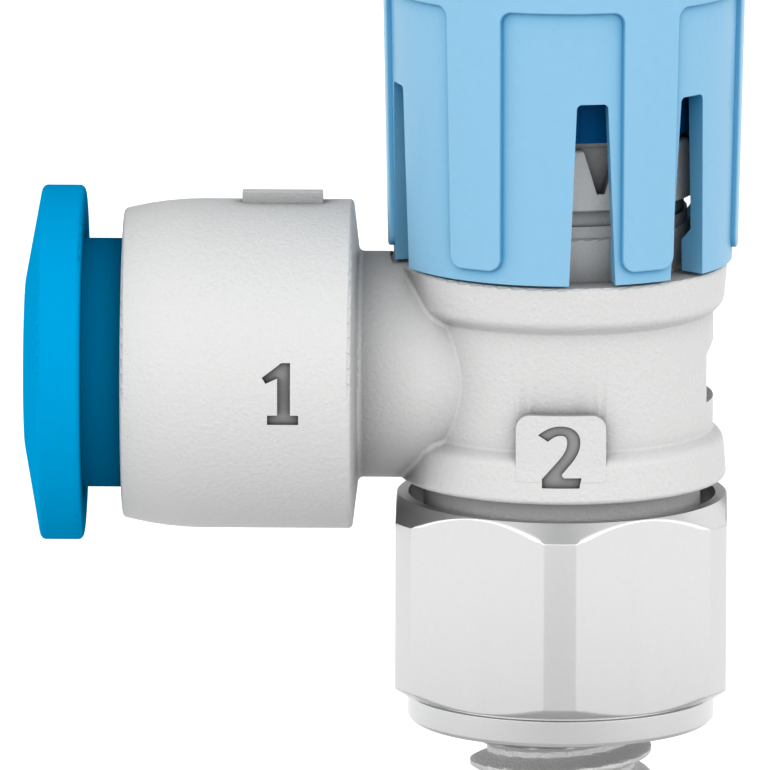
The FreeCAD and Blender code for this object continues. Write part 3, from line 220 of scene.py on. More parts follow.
class ValveSizes(bpy.types.PropertyGroup):
    """Sizes of what is added to the frame."""

    pitch: bpy.props.FloatProperty(
        name="Thread pitch", description="Pitch of the M5 thread",
        unit="LENGTH", default=0.0008)
    crest: bpy.props.FloatProperty(
        name="Thread crest", description="Radius over the thread's crests",
        unit="LENGTH", default=0.00248)
    root: bpy.props.FloatProperty(
        name="Thread root", description="Radius in the thread's roots",
        unit="LENGTH", default=0.00201)
    figure_height: bpy.props.FloatProperty(
        name="Number height", description="Height of the port numbers",
        unit="LENGTH", default=0.0017)
    figure_depth: bpy.props.FloatProperty(
        name="Number depth", description="How deep the port numbers are sunk",
        unit="LENGTH", default=0.0002)


class ValveStudio(bpy.types.PropertyGroup):
    """Camera and light."""

    azimuth: bpy.props.FloatProperty(
        name="Azimuth", description="Camera's turn from the front, away from the port",
        subtype="ANGLE", default=math.radians(1.0))
    elevation: bpy.props.FloatProperty(
        name="Elevation", description="How far the camera looks down",
        subtype="ANGLE", default=math.radians(11.0))
    roll: bpy.props.FloatProperty(
        name="Roll", description="Camera's roll", subtype="ANGLE", default=math.radians(0.15))
    lens: bpy.props.FloatProperty(
        name="Lens", description="Focal length in millimetres", default=795.0)
    distance: bpy.props.FloatProperty(
        name="Distance", description="From the camera to the point it looks at",
        unit="LENGTH", default=0.463)
    floor_glow: bpy.props.FloatProperty(
        name="Floor glow", description="Light that the floor gives off", default=0.8)
    floor_dim: bpy.props.FloatProperty(
        name="Floor dim", description="Share of the glow right in front of the valve",
        subtype="FACTOR", default=0.35, min=0, max=1)
    bright: bpy.props.FloatProperty(
        name="Bright sides", description="Light of the surroundings on their bright sides",
        default=2.8)
    dark: bpy.props.FloatProperty(
        name="Dark side", description="Light of the surroundings on their dark side",
        default=0.45)
    bright_left: bpy.props.FloatVectorProperty(
        name="Left", description="Direction of the left bright side", subtype="XYZ", size=3,
        default=(-0.8, -0.6, 0.2))
    bright_right: bpy.props.FloatVectorProperty(
        name="Right", description="Direction of the right bright side", subtype="XYZ", size=3,
        default=(0.75, -0.65, 0.2))
    aim: bpy.props.FloatVectorProperty(
        name="Aim", description="Point the camera looks at", subtype="XYZ", size=3,
        default=(-0.004827, 0.0, 0.00918))


# Mesh helpers

def put_object(name, mesh):
    """A new object in the scene that carries a mesh."""
    piece = bpy.data.objects.new(name, mesh)
    bpy.context.scene.collection.objects.link(piece)
    return piece


def put_mesh(name, corners, faces):
    """A mesh object from whole arrays of corners in metres and quads or triangles."""
    mesh = bpy.data.meshes.new(name)
    mesh.from_pydata(corners.reshape(-1, 3), [], faces.tolist())
    mesh.validate()
    mesh.update()
    return put_object(name, mesh)


def as_array(items, name, width=1, kind=float):
    """One value, or a row of several, of each of a mesh's items, as one array."""
    values = np.empty(len(items) * width, kind)
    items.foreach_get(name, values)
    return values.reshape(-1, width) if width > 1 else values


def ring_grid(points):
    """Quads of a grid that closes both ways, wound so that they face outwards.

    The volume under the grid is the sum of the corner products; where it comes out
    negative the quads are turned round.
    """
    rows, columns = points.shape[:2]
    index = np.arange(rows * columns).reshape(rows, columns)
    below = np.roll(index, -1, 0)
    quads = np.stack((index, np.roll(index, -1, 1), np.roll(below, -1, 1), below), -1)
    quads = quads.reshape(-1, 4)
    flat = points.reshape(-1, 3)
    a, b, c, d = (flat[quads[:, i]] for i in range(4))
    volume = np.sum(a * np.cross(b, c)) + np.sum(a * np.cross(c, d))
    if volume < 0:
        quads = quads[:, ::-1]
    return quads


def turned_corners(mesh, point, direction, normals):
    """Set the corner normals of facets that belong to a surface turned about an axis.

    A facet belongs to one if its normal has next to no part round the axis. Its corners
    then take the radial direction at the corner times the normal's radial part, plus the
    axis times its axial part.
    """
    axis = np.array(direction, float)
    corner = as_array(mesh.loops, "vertex_index", kind=np.int64)
    places = as_array(mesh.vertices, "co", 3) - np.array(point)
    totals = as_array(mesh.polygons, "loop_total", kind=np.int64)
    centres = as_array(mesh.polygons, "center", 3) - np.array(point)
    facing = as_array(mesh.polygons, "normal", 3)

    def outward(p):
        """Unit vectors that point from the axis to the places."""
        radial = p - (p @ axis)[:, None] * axis
        return radial / np.maximum(np.linalg.norm(radial, axis=1), 1e-9)[:, None]

    middle = outward(centres)
    along = facing @ axis
    out = np.sum(facing * middle, 1)
    off = np.sum(facing * np.cross(axis, middle), 1)
    turned = (np.abs(off) < TURNED_LEAN) & (np.abs(out) > TURNED_OUTWARD)
    face = np.repeat(np.arange(len(totals)), totals)
    rim = outward(places)[corner]
    ring = np.sign(out[face]) * np.sqrt(np.maximum(0, 1 - along[face] ** 2))
    fresh = rim * ring[:, None] + along[face][:, None] * axis
    near = np.sum(fresh * facing[face], 1) > TURNED_ALIKE
    chosen = turned[face] & near
    normals[chosen] = fresh[chosen]


def even_normals(piece, axes):
    """Corner normals weighted by area, so that flat and turned faces stay even.

    Each corner starts from its facet's normal, or from the turned surface's. It then takes
    the sum of the normals at its vertex that lie within a set angle of its own, each times
    the area of its facet.
    """
    mesh = piece.data
    mesh.shade_smooth()
    totals = as_array(mesh.polygons, "loop_total", kind=np.int64)
    areas = as_array(mesh.polygons, "area")
    face = np.repeat(np.arange(len(totals)), totals)
    normals = as_array(mesh.polygons, "normal", 3)[face]
    for point, direction in axes:
        turned_corners(mesh, point, direction, normals)
    corner = as_array(mesh.loops, "vertex_index", kind=np.int64)
    order = np.argsort(corner, kind="stable")
    own = corner[order]
    start = np.searchsorted(own, own, "left")
    count = np.searchsorted(own, own, "right") - start
    place = np.arange(len(own)) - start
    sorted_normals = normals[order]
    weights = areas[face][order] + 1e-14
    total = sorted_normals * weights[:, None]
    limit = math.cos(math.radians(JOINED_ANGLE))
    for step in range(1, int(count.max())):
        active = np.nonzero(count > step)[0]
        other = start[active] + (place[active] + step) % count[active]
        theirs = sorted_normals[other]
        alike = np.sum(theirs * sorted_normals[active], 1) > limit
        total[active] += theirs * (weights[other] * alike)[:, None]
    total /= np.maximum(np.linalg.norm(total, axis=1), 1e-20)[:, None]
    result = np.empty_like(normals)
    result[order] = total
    mesh.normals_split_custom_set(result.tolist())


def merged_copy(node, name):
    """A copy of a CAD node with its loose triangles joined."""
    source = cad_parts[node]
    mesh = source.data.copy()
    mesh.name = name
    work = bmesh.new()
    work.from_mesh(mesh)
    bmesh.ops.remove_doubles(work, verts=work.verts, dist=JOINED_WITHIN)
    bmesh.ops.dissolve_degenerate(work, edges=work.edges, dist=1e-7)
    work.to_mesh(mesh)
    work.free()
    mesh.materials.clear()
    return put_object(name, mesh)


def finish_piece(piece, node, body, material):
    """Give a replacing piece its material if it has none, hang it on its body and hide the CAD
    node.
    """
    if not piece.data.materials:
        piece.data.materials.append(material)
    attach(piece, body)
    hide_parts(node)


# Stud

def rounded_path(corners):
    """Points along a closed outline whose corners are eased by short curves.

    Each corner is (radius, height, easing, points on the run that follows). A corner's curve
    is the parabola between the two points that lie its easing away from the corner. The run's
    points lie evenly between the end of one curve and the start of the next.
    """
    table = np.array([corner[:2] for corner in corners], float)
    points = []
    for i, (_, _, easing, steps) in enumerate(corners):
        after = (i + 1) % len(corners)
        here = table[i]
        back = table[i - 1] - here
        ahead = table[after] - here
        start = here + back / np.linalg.norm(back) * easing
        end = here + ahead / np.linalg.norm(ahead) * easing
        t = np.linspace(0, 1, CORNER_POINTS)[:, None]
        points.append((1 - t) ** 2 * start + 2 * t * (1 - t) * here + t ** 2 * end)
        stop = table[after] - ahead / np.linalg.norm(ahead) * corners[after][2]
        share = np.linspace(0, 1, steps + 2)[1:-1, None]
        points.append(end + (stop - end) * share)
    return np.concatenate(points)


def sector_angles(sectors, steps, edge):
    """Angles round a circle, denser where each sector's two edges lie.

    Within a sector the angles follow a cumulated weight: one plus a bell round each edge.
    """
    fine = np.linspace(-0.5, 0.5, SECTOR_STEPS)
    weight = 1 + sum(CROWD * np.exp(-((fine - side * edge) / CROWD_WIDTH) ** 2)
                     for side in (-1, 1))
    total = np.cumsum(weight)
    total = (total - total[0]) / (total[-1] - total[0])
    share = np.interp(np.arange(steps) / steps, total, fine)
    base = np.arange(sectors)[:, None] * (2 * math.pi / sectors)
    return (base + share[None, :] * (2 * math.pi / sectors)).ravel()


def soft_min(a, b, width):
    """The lesser of two lengths, eased over a width where they are nearly equal."""
    share = np.clip(0.5 + 0.5 * (b - a) / width, 0, 1)
    return b + (a - b) * share - width * share * (1 - share)


def thread_radius(sizes, angle, height):
    """Radius of the thread in millimetres.

    The phase is height over pitch less the share of a turn. A V with flat crest and root and
    slightly eased flanks rises between the two radii, and two cones cut it off at the lead-in
    and at the relief.
    """
    pitch = sizes.pitch / MM
    root = sizes.root / MM
    crest = sizes.crest / MM
    phase = height / pitch - angle / (2 * math.pi) + THREAD_START
    wave = np.abs(2 * (phase - np.floor(phase)) - 1)
    flank = np.clip((wave - FLANK_START) / (FLANK_END - FLANK_START), 0, 1)
    curved = flank * flank * (3 - 2 * flank)
    radius = root + (crest - root) * (curved * FLANK_EASE + flank * (1 - FLANK_EASE))
    lead_in = LEAD_IN + (height - THREAD_END)
    relief = RELIEF + np.maximum(0, RELIEF_BOTTOM - height) * RELIEF_SLOPE
    return np.minimum(np.minimum(radius, lead_in), relief)


def stud_surface(sizes):
    """Corner points of the stud, a grid of outline points by angles.

    The outline runs from the bore's foot out to the thread, up the collar and the hexagon and
    down the cup. Its radius is the thread's along the thread, and along the hexagon the
    lesser of the turned outline and the flat, which is the half width over the flats divided
    by the cosine of the angle from the flat's middle.
    """
    outline = rounded_path([
        (BORE, THREAD_END, EASED, 1), (LEAD_IN, THREAD_END, SHARP, 84),
        (RELIEF, RELIEF_BOTTOM, SHARP, 3), (RELIEF, 0.0, EASED, 2),
        (SEAT_INNER, 0.0, FINE, 0), (SEAT_INNER, SEAT_DEPTH, FINE, 0),
        (SEAT_OUTER, SEAT_DEPTH, FINE, 0), (SEAT_OUTER, 0.0, FINE, 0),
        (COLLAR_FOOT, 0.0, EASED, 0), (COLLAR, COLLAR_CHAMFER, EASED, 3),
        (COLLAR, COLLAR_TOP, EASED, 0), (UNDERCUT, COLLAR_TOP, EASED, 0),
        (UNDERCUT, HEX_BOTTOM, EASED, 0), (HEX_END, HEX_BOTTOM, EASED, 22),
        (HEX_CORNER, LOWER_CHAMFER, 0.03, 9), (HEX_CORNER, UPPER_CHAMFER, 0.015, 30),
        (HEX_END, HEX_TOP, EASED, 1), (CUP_MOUTH, HEX_TOP, EASED, 1),
        (CUP_MOUTH, MOUTH_DEPTH, EASED, 0), (CUP, MOUTH_DEPTH, EASED, 0),
        (CUP, WIRE_TOP, EASED, 0), (WIRE_GROOVE, WIRE_TOP, EASED, 0),
        (WIRE_GROOVE, WIRE_BOTTOM, EASED, 0), (CUP, WIRE_BOTTOM, EASED, 1),
        (CUP, CUP_FLOOR, EASED, 1), (BORE, CUP_FLOOR, EASED, 1)])
    angle = sector_angles(FLATS, COLUMNS_PER_FLAT, CORNER_SHARE)
    radius = np.repeat(outline[:, :1], len(angle), 1)
    height = np.repeat(outline[:, 1:], len(angle), 1)
    turn = np.repeat(angle[None, :], len(outline), 0)
    outside = radius > (BORE + RELIEF) / 2
    above = height > THREAD_END + THREAD_MARGIN
    below = height < RELIEF_BOTTOM + SHARP
    radius = np.where(outside & above & below, thread_radius(sizes, turn, height), radius)
    half = math.pi / FLATS
    apart = np.mod(turn + half, 2 * half) - half
    flat = HEX_FLAT / np.cos(apart)
    hexagon = radius > HEX_END - EASED
    radius = np.where(hexagon, soft_min(radius, flat, EDGE_BLEND), radius)
    return np.stack((radius * np.cos(turn), radius * np.sin(turn), height), -1) * MM


# Port numbers

def nib_outline(line, wide, high):
    """Outline of a pen stroke with an oval nib carried along a line.

    Each side lies off the line by the nib's reach along the line's normal, which is the
    squared half sizes times the normal, divided by the length of the half sizes times it.
    """
    along = np.gradient(line, axis=0)
    normal = np.stack((-along[:, 1], along[:, 0]), -1)
    normal /= np.linalg.norm(normal, axis=1)[:, None]
    half = np.array((wide, high)) / 2
    reach = half ** 2 * normal / np.linalg.norm(half * normal, axis=1)[:, None]
    return np.concatenate((line + reach, (line - reach)[::-1]))


def bend(a, b, c, d, steps=16):
    """Points on the cubic curve from a to d that leaves towards b and arrives from c."""
    t = np.linspace(0, 1, steps)[:, None]
    a, b, c, d = (np.array(p, float) for p in (a, b, c, d))
    return (1 - t) ** 3 * a + 3 * t * (1 - t) ** 2 * b + 3 * t * t * (1 - t) * c + t ** 3 * d


def figure_two():
    """Outlines of a 2 of height one about its middle: the bowl's stroke and the foot."""
    bowl = bend((-0.325, 0.3), (-0.21, 0.39), (-0.12, 0.425), (-0.02, 0.425))
    side = bend((-0.02, 0.425), (0.13, 0.425), (0.2, 0.35), (0.2, 0.235))[1:]
    slant = bend((0.2, 0.235), (0.2, 0.02), (0.0, -0.12), (-0.25, -0.4))[1:]
    stroke = nib_outline(np.concatenate((bowl, side, slant)), 0.225, 0.15)
    foot = np.array(((-0.34, -0.5), (0.3, -0.5), (0.335, -0.335), (0.04, -0.335),
                     (0.0, -0.3), (0.02, -0.235), (-0.13, -0.16), (-0.34, -0.365)))
    slim = np.array((TWO_WIDTH, 1.0))
    return [stroke * slim, foot * slim]


def figure_one():
    """Outline of a 1 of height one about its middle: flag, stem and foot in one."""
    return [np.array((
        (-0.26, -0.5), (0.235, -0.5), (0.235, -0.345), (0.105, -0.345), (0.105, 0.5),
        (-0.035, 0.5), (-0.345, 0.265), (-0.285, 0.17), (-0.1, 0.255), (-0.1, -0.345),
        (-0.26, -0.345)))]


def prism(name, outline, near, far):
    """A closed prism: the outline, in x and z, between two depths along y."""
    count = len(outline)
    corners = np.zeros((2, count, 3))
    corners[:, :, 0] = outline[:, 0]
    corners[:, :, 2] = outline[:, 1]
    corners[0, :, 1] = near
    corners[1, :, 1] = far
    index = np.arange(count)
    ahead = np.roll(index, -1)
    sides = np.stack((index, ahead, ahead + count, index + count), -1).tolist()
    faces = [index[::-1].tolist(), (index + count).tolist()] + sides
    area = np.sum(outline[:, 0] * np.roll(outline[:, 1], -1)
                  - outline[:, 1] * np.roll(outline[:, 0], -1))
    if area > 0:
        faces = [face[::-1] for face in faces]
    mesh = bpy.data.meshes.new(name)
    mesh.from_pydata(corners.reshape(-1, 3), [], faces)
    mesh.update()
    return put_object(name, mesh)


def sink_figure(piece, outlines, middle, sizes, tone):
    """Sink a number's outlines into the piece, and give its floor and walls their own tone."""
    for i, outline in enumerate(outlines):
        placed = outline * sizes.figure_height + np.array(middle)
        cutter = prism(f"cutter_{i}", placed, FIGURE_SKIN - CUT_AHEAD,
                       FIGURE_SKIN + sizes.figure_depth)
        cutter.data.materials.append(tone)
        cut = piece.modifiers.new("sunk", "BOOLEAN")
        cut.operation = "DIFFERENCE"
        cut.solver = "EXACT"
        cut.material_mode = "TRANSFER"
        cut.object = cutter
        graph = bpy.context.evaluated_depsgraph_get()
        graph.update()
        mesh = bpy.data.meshes.new_from_object(
            piece.evaluated_get(graph), preserve_all_data_layers=True, depsgraph=graph)
        piece.modifiers.clear()
        piece.data = mesh
        bpy.data.objects.remove(cutter)


# Materials

def shader(name):
    """A new material, its tree and its principled shader."""
    material = bpy.data.materials.new(name)
    material.use_nodes = True
    tree = material.node_tree
    return material, tree, tree.nodes["Principled BSDF"]


def add(tree, kind, **values):
    """A node with its sockets or properties set by name."""
    node = tree.nodes.new(kind)
    for name, value in values.items():
        if hasattr(node, name):
            setattr(node, name, value)
        else:
            node.inputs[name.replace("_", " ")].default_value = value
    return node


def link(tree, start, output, end, inlet):
    """Join an output of one node to an inlet of another."""
    tree.links.new(start.outputs[output], end.inputs[inlet])


def grain_bump(tree, surface, size, strength, stretch=(1, 1, 1)):
    """Bump from a fine noise on object coordinates."""
    place = add(tree, "ShaderNodeTexCoord")
    mapping = add(tree, "ShaderNodeMapping")
    mapping.inputs["Scale"].default_value = stretch
    noise = add(tree, "ShaderNodeTexNoise", Scale=1 / size, Detail=3.0, Roughness=0.6)
    bump = add(tree, "ShaderNodeBump", Strength=strength, Distance=size * 0.3)
    link(tree, place, "Object", mapping, "Vector")
    link(tree, mapping, "Vector", noise, "Vector")
    link(tree, noise, "Fac", bump, "Height")
    link(tree, bump, "Normal", surface, "Normal")
    return noise


def vary(tree, surface, noise, colour, spread, ends=(0.3, 0.7)):
    """A ramp of the base colour that varies a little with the noise between its two ends."""
    ramp = add(tree, "ShaderNodeValToRGB")
    low, high = ramp.color_ramp.elements
    low.position, high.position = ends
    low.color = (*[c * (1 - spread) for c in colour], 1)
    high.color = (*[min(1, c * (1 + spread)) for c in colour], 1)
    link(tree, noise, "Fac", ramp, "Fac")
    link(tree, ramp, "Color", surface, "Base Color")
    return ramp


def paint_crease_shade(tree, surface, ramp, shade_powers, alone):
    """Base colour with painted shade, darker in creases.

    Red, green and blue are each scaled by the open share of the surroundings within reach,
    raised to a power, which paints shade into the colour. Alone, a piece counts only itself.
    """
    share = add(tree, "ShaderNodeAmbientOcclusion", Distance=PAINTED_SHADE_REACH, only_local=alone,
                samples=6)
    parts = add(tree, "ShaderNodeCombineXYZ")
    for i, power in enumerate(shade_powers):
        raised = add(tree, "ShaderNodeMath", operation="POWER")
        raised.inputs[1].default_value = power
        link(tree, share, "AO", raised, 0)
        link(tree, raised, 0, parts, i)
    scaled = add(tree, "ShaderNodeVectorMath", operation="MULTIPLY")
    link(tree, ramp, "Color", scaled, 0)
    link(tree, parts, 0, scaled, 1)
    link(tree, scaled, 0, surface, "Base Color")


def moulded(name, colour, grain, roughness, strength=0.35, gloss=0.35,
            shade_powers=(1.3, 1.3, 1.3), alone=True):
    """Grained moulded plastic with painted shade in creases; gloss is how strongly it mirrors.
    """
    material, tree, surface = shader(name)
    noise = grain_bump(tree, surface, grain, strength)
    ramp = vary(tree, surface, noise, colour, 0.015)
    paint_crease_shade(tree, surface, ramp, shade_powers, alone)
    surface.inputs["Roughness"].default_value = roughness
    surface.inputs["IOR"].default_value = 1.46
    surface.inputs["Specular IOR Level"].default_value = gloss
    return material


def metal(name, colour, roughness, grain, stretch=(1, 1, 1), strength=0.2):
    """Bare or plated metal with fine marks."""
    material, tree, surface = shader(name)
    noise = grain_bump(tree, surface, grain, strength, stretch)
    vary(tree, surface, noise, colour, 0.04)
    surface.inputs["Metallic"].default_value = 1.0
    surface.inputs["Roughness"].default_value = roughness
    return material


def nickel_plate(colour):
    """Nickel plating, smooth above the seat and granular on the thread below it."""
    material, tree, surface = shader("nickel_plate")
    surface.inputs["Metallic"].default_value = 1.0
    place = add(tree, "ShaderNodeTexCoord")
    split = add(tree, "ShaderNodeSeparateXYZ")
    link(tree, place, "Object", split, "Vector")
    low = add(tree, "ShaderNodeMapRange")
    low.inputs["From Min"].default_value = SMOOTH_ABOVE
    low.inputs["From Max"].default_value = GRANULAR_BELOW
    link(tree, split, "Z", low, "Value")
    fine = add(tree, "ShaderNodeTexNoise", Scale=9000.0, Detail=2.0)
    coarse = add(tree, "ShaderNodeTexNoise", Scale=11000.0, Detail=3.0)
    for noise in (fine, coarse):
        link(tree, place, "Object", noise, "Vector")
    vary(tree, surface, fine, colour, 0.01, (0.35, 0.65))
    rough = add(tree, "ShaderNodeMapRange")
    rough.inputs["To Min"].default_value = 0.28
    rough.inputs["To Max"].default_value = 0.6
    link(tree, low, "Result", rough, "Value")
    link(tree, rough, "Result", surface, "Roughness")
    deep = add(tree, "ShaderNodeMapRange")
    deep.inputs["To Min"].default_value = 0.006
    deep.inputs["To Max"].default_value = 1.0
    link(tree, low, "Result", deep, "Value")
    bump = add(tree, "ShaderNodeBump", Distance=0.00005)
    link(tree, deep, "Result", bump, "Strength")
    link(tree, coarse, "Fac", bump, "Height")
    link(tree, bump, "Normal", surface, "Normal")
    return material


def rubber_finish(colour):
    """Matte black rubber."""
    material, tree, surface = shader("black_rubber")
    noise = grain_bump(tree, surface, 0.00008, 0.2)
    vary(tree, surface, noise, colour, 0.1)
    surface.inputs["Roughness"].default_value = 0.6
    return material


def coat_node(node, material):
    """Give a CAD node its material, as it is."""
    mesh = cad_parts[node].data
    mesh.materials.clear()
    mesh.materials.append(material)


def floor_white(glow, dim):
    """Pale floor with a glow of its own that is weaker before and under the valve.

    The glow grows with the distance from a point before the valve. Lengths across, and those
    behind the valve's axis, count more than once.
    """
    material, tree, surface = shader("studio_white")
    surface.inputs["Base Color"].default_value = (0.4, 0.4, 0.4, 1)
    surface.inputs["Roughness"].default_value = 1.0
    surface.inputs["Specular IOR Level"].default_value = 0.0
    surface.inputs["Emission Color"].default_value = (1, 1, 1, 1)
    place = add(tree, "ShaderNodeTexCoord")
    spread = add(tree, "ShaderNodeVectorMath", operation="MULTIPLY")
    spread.inputs[1].default_value = (ACROSS, BEHIND, 1)
    close = add(tree, "ShaderNodeVectorMath", operation="MULTIPLY")
    close.inputs[1].default_value = (ACROSS, 1, 1)
    deeper = add(tree, "ShaderNodeVectorMath", operation="MAXIMUM")
    apart = add(tree, "ShaderNodeVectorMath", operation="DISTANCE")
    apart.inputs[1].default_value = DIM_MIDDLE
    level = add(tree, "ShaderNodeMapRange")
    level.inputs["From Min"].default_value = DIM_RADIUS
    level.inputs["From Max"].default_value = GLOW_RADIUS
    level.inputs["To Min"].default_value = glow * dim
    level.inputs["To Max"].default_value = glow
    link(tree, place, "Object", spread, 0)
    link(tree, place, "Object", close, 0)
    link(tree, spread, 0, deeper, 0)
    link(tree, close, 0, deeper, 1)
    link(tree, deeper, 0, apart, 0)
    link(tree, apart, "Value", level, "Value")
    link(tree, level, "Result", surface, "Emission Strength")
    return material


def studio_world(bright, dark, sides):
    """Surroundings that are brightest in two directions, and dark behind and above.

    The light falls off with the dot product of a direction and the nearer bright side.
    """
    world = bpy.data.worlds.new("studio_world")
    world.use_nodes = True
    tree = world.node_tree
    place = add(tree, "ShaderNodeTexCoord")
    nearer = add(tree, "ShaderNodeMath", operation="MAXIMUM")
    for i, side in enumerate(sides):
        towards = add(tree, "ShaderNodeVectorMath", operation="DOT_PRODUCT")
        towards.inputs[1].default_value = Vector(side).normalized()
        link(tree, place, "Generated", towards, 0)
        link(tree, towards, "Value", nearer, i)
    level = add(tree, "ShaderNodeMapRange")
    level.inputs["From Min"].default_value = BRIGHT_EDGE
    level.inputs["To Min"].default_value = dark
    level.inputs["To Max"].default_value = bright
    link(tree, nearer, 0, level, "Value")
    tree.nodes["Background"].inputs["Color"].default_value = (1, 1, 1, 1)
    link(tree, level, "Result", tree.nodes["Background"], "Strength")
    return world


# Operators

class ValveMakeStud(bpy.types.Operator):
    """Stud with its cut thread and bevelled hexagon, in place of the plain one."""

    bl_idname = "valve.make_stud"
    bl_label = "Stud"

    def execute(self, context):
        points = stud_surface(context.scene.valve_sizes)
        piece = put_mesh("stud_with_thread", points, ring_grid(points))
        even_normals(piece, (UPRIGHT,))
        material = nickel_plate(context.scene.valve_finish.nickel)
        finish_piece(piece, "threaded_stud", "stud", material)
        return {"FINISHED"}


class ValveDressHousing(bpy.types.Operator):
    """Housing with the two port numbers sunk into it."""

    bl_idname = "valve.dress_housing"
    bl_label = "Housing and port numbers"

    def execute(self, context):
        finish = context.scene.valve_finish
        sizes = context.scene.valve_sizes
        grey = moulded("grey_moulding", finish.grey, finish.grain, 0.48, strength=1.0)
        tone = moulded("number_floor", [c * finish.figure_tone for c in finish.grey],
                       finish.grain, 0.6)
        piece = merged_copy("housing", "housing_with_numbers")
        piece.data.materials.append(grey)
        sink_figure(piece, figure_one(), ONE_MIDDLE, sizes, tone)
        sink_figure(piece, figure_two(), TWO_MIDDLE, sizes, tone)
        if len(piece.data.polygons) < len(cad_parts["housing"].data.polygons) / 2:
            raise RuntimeError("The numbers took away more than their own floors.")
        even_normals(piece, (UPRIGHT, PORT_LINE))
        finish_piece(piece, "housing", "housing", grey)
        return {"FINISHED"}


class ValveDressKnob(bpy.types.Operator):
    """Adjusting knob and the hub inside it."""

    bl_idname = "valve.dress_knob"
    bl_label = "Knob and hub"

    def execute(self, context):
        finish = context.scene.valve_finish
        # The knob's creases get painted shade that turns a deeper, more saturated blue.
        pale = moulded("pale_blue_moulding", finish.pale_blue, finish.grain * 2, 0.36,
                       strength=0.08, gloss=0.15, shade_powers=(2.8, 1.05, 0.55))
        # The hub's darker blue is painted shade; the hub is moulded in the release ring's
        # blue.
        deep = moulded("hub_blue_painted_shade", finish.hub_blue_in_painted_shade, finish.grain * 2, 0.4,
                       gloss=0.02)
        knob = merged_copy("adjusting_knob", "knob_cap")
        even_normals(knob, (UPRIGHT,))
        finish_piece(knob, "adjusting_knob", "knob", pale)
        hub = merged_copy("drive_hub", "knob_hub")
        even_normals(hub, (UPRIGHT,))
        finish_piece(hub, "drive_hub", "hub", deep)
        return {"FINISHED"}


class ValveDressPort(bpy.types.Operator):
    """Release ring and the pieces of the push-in socket."""

    bl_idname = "valve.dress_port"
    bl_label = "Push-in port"

    def execute(self, context):
        finish = context.scene.valve_finish
        # Painted shade in the ring's creases and on its stem, cast by nearby pieces too.
        blue = moulded("blue_moulding", finish.blue, finish.grain * 1.5, 0.42, strength=0.15,
                       gloss=0.0, shade_powers=(0.8, 0.8, 0.75), alone=False)
        ring = merged_copy("release_ring", "release_ring_disc")
        even_normals(ring, (PORT_LINE,))
        finish_piece(ring, "release_ring", "release_ring", blue)
        brass = metal("turned_brass", finish.brass, 0.28, 0.0002, (1, 6, 6))
        grey = moulded("support_moulding", finish.grey, finish.grain, 0.5)
        steel = metal("spring_steel", finish.steel, 0.25, 0.0001)
        rubber = rubber_finish(finish.rubber)
        for node, material in (
                ("collet_sleeve", brass), ("metering_sleeve", brass),
                ("threaded_insert", brass), ("throttle_screw", brass),
                ("support_ring", grey), ("grab_ring", steel), ("retaining_ring", steel),
                ("hub_clip", steel), ("port_seal_ring", rubber), ("swivel_o_ring", rubber),
                ("tube_seal", rubber), ("check_lip_seal", rubber), ("screw_o_ring", rubber)):
            coat_node(node, material)
        return {"FINISHED"}


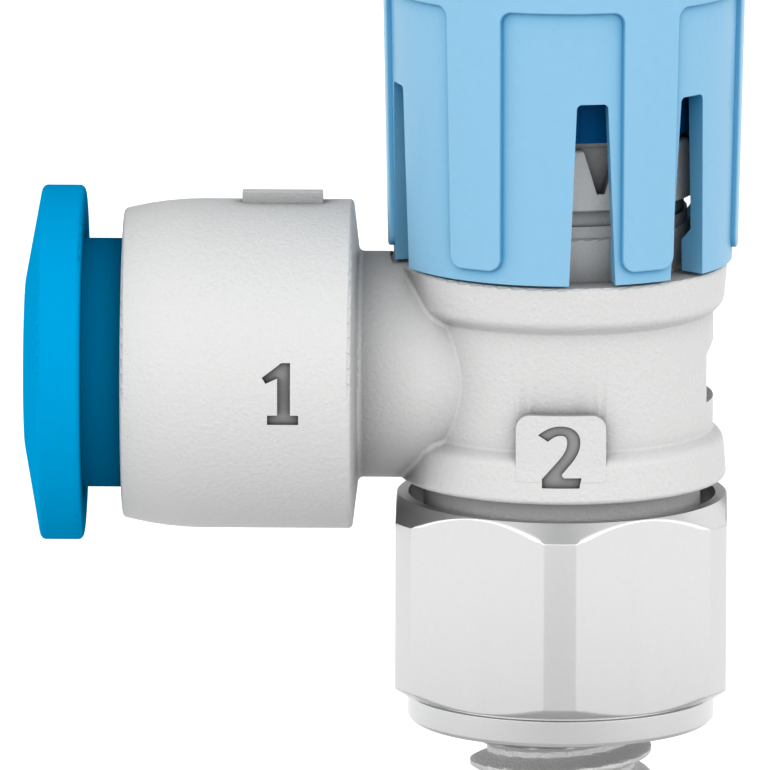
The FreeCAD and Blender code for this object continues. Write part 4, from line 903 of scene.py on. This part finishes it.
class ValveSetStudio(bpy.types.Operator):
    """Pale floor, soft light and the camera."""

    bl_idname = "valve.set_studio"
    bl_label = "Studio"

    def execute(self, context):
        scene = context.scene
        studio = scene.valve_studio
        low = float(cad_box[0][2])
        spots = np.array([(x * FLOOR_REACH, y * FLOOR_REACH, low)
                          for x, y in ((-1, -1), (1, -1), (1, 1), (-1, 1))])
        floor = put_mesh("studio_floor", spots, np.array(((0, 1, 2, 3),)))
        floor.data.materials.append(floor_white(studio.floor_glow, studio.floor_dim))
        sides = (studio.bright_left, studio.bright_right)
        scene.world = studio_world(studio.bright, studio.dark, sides)
        aim = Vector(studio.aim)
        for name, place, size, power in LAMPS:
            lamp = bpy.data.lights.new(name, "AREA")
            lamp.shape = "SQUARE"
            lamp.size = size
            lamp.energy = power
            holder = bpy.data.objects.new(name, lamp)
            scene.collection.objects.link(holder)
            holder.location = aim + Vector(place)
            holder.rotation_euler = (-Vector(place)).to_track_quat("-Z", "Y").to_euler()
        lens = bpy.data.cameras.new("studio_camera")
        lens.lens = studio.lens
        lens.sensor_width = 36.0
        lens.clip_start = 0.01
        camera = bpy.data.objects.new("studio_camera", lens)
        scene.collection.objects.link(camera)
        away = Vector((
            math.sin(studio.azimuth) * math.cos(studio.elevation),
            -math.cos(studio.azimuth) * math.cos(studio.elevation),
            math.sin(studio.elevation)))
        camera.location = aim + away * studio.distance
        facing = (-away).to_track_quat("-Z", "Y")
        camera.rotation_euler = (
            facing.to_matrix() @ Euler((0, 0, studio.roll)).to_matrix()).to_euler()
        scene.camera = camera
        scene.view_settings.view_transform = "Standard"
        scene.view_settings.look = "None"
        return {"FINISHED"}


class ValvePanel(bpy.types.Panel):
    """Lists the pieces and their settings in the sidebar."""

    bl_idname = "VIEW3D_PT_valve"
    bl_label = "Flow control valve"
    bl_space_type = "VIEW_3D"
    bl_region_type = "UI"
    bl_category = "Valve"

    def draw(self, context):
        for settings in (context.scene.valve_finish, context.scene.valve_sizes,
                         context.scene.valve_studio):
            for name in settings.__annotations__:
                self.layout.prop(settings, name)
        for maker in MAKERS:
            self.layout.operator(maker.bl_idname)


MAKERS = (ValveMakeStud, ValveDressHousing, ValveDressKnob, ValveDressPort, ValveSetStudio)
CLASSES = (ValveFinish, ValveSizes, ValveStudio) + MAKERS + (ValvePanel,)


def register():
    """Register the classes and hang the settings on the scene."""
    for each in CLASSES:
        bpy.utils.register_class(each)
    bpy.types.Scene.valve_finish = bpy.props.PointerProperty(type=ValveFinish)
    bpy.types.Scene.valve_sizes = bpy.props.PointerProperty(type=ValveSizes)
    bpy.types.Scene.valve_studio = bpy.props.PointerProperty(type=ValveStudio)


def unregister():
    """Take the settings and classes away again."""
    del bpy.types.Scene.valve_studio
    del bpy.types.Scene.valve_sizes
    del bpy.types.Scene.valve_finish
    for each in reversed(CLASSES):
        bpy.utils.unregister_class(each)


def main():
    """Register the classes and make every piece in order."""
    register()
    bpy.ops.valve.make_stud()
    bpy.ops.valve.dress_housing()
    bpy.ops.valve.dress_knob()
    bpy.ops.valve.dress_port()
    bpy.ops.valve.set_studio()


if __name__ == "__main__":
    main()
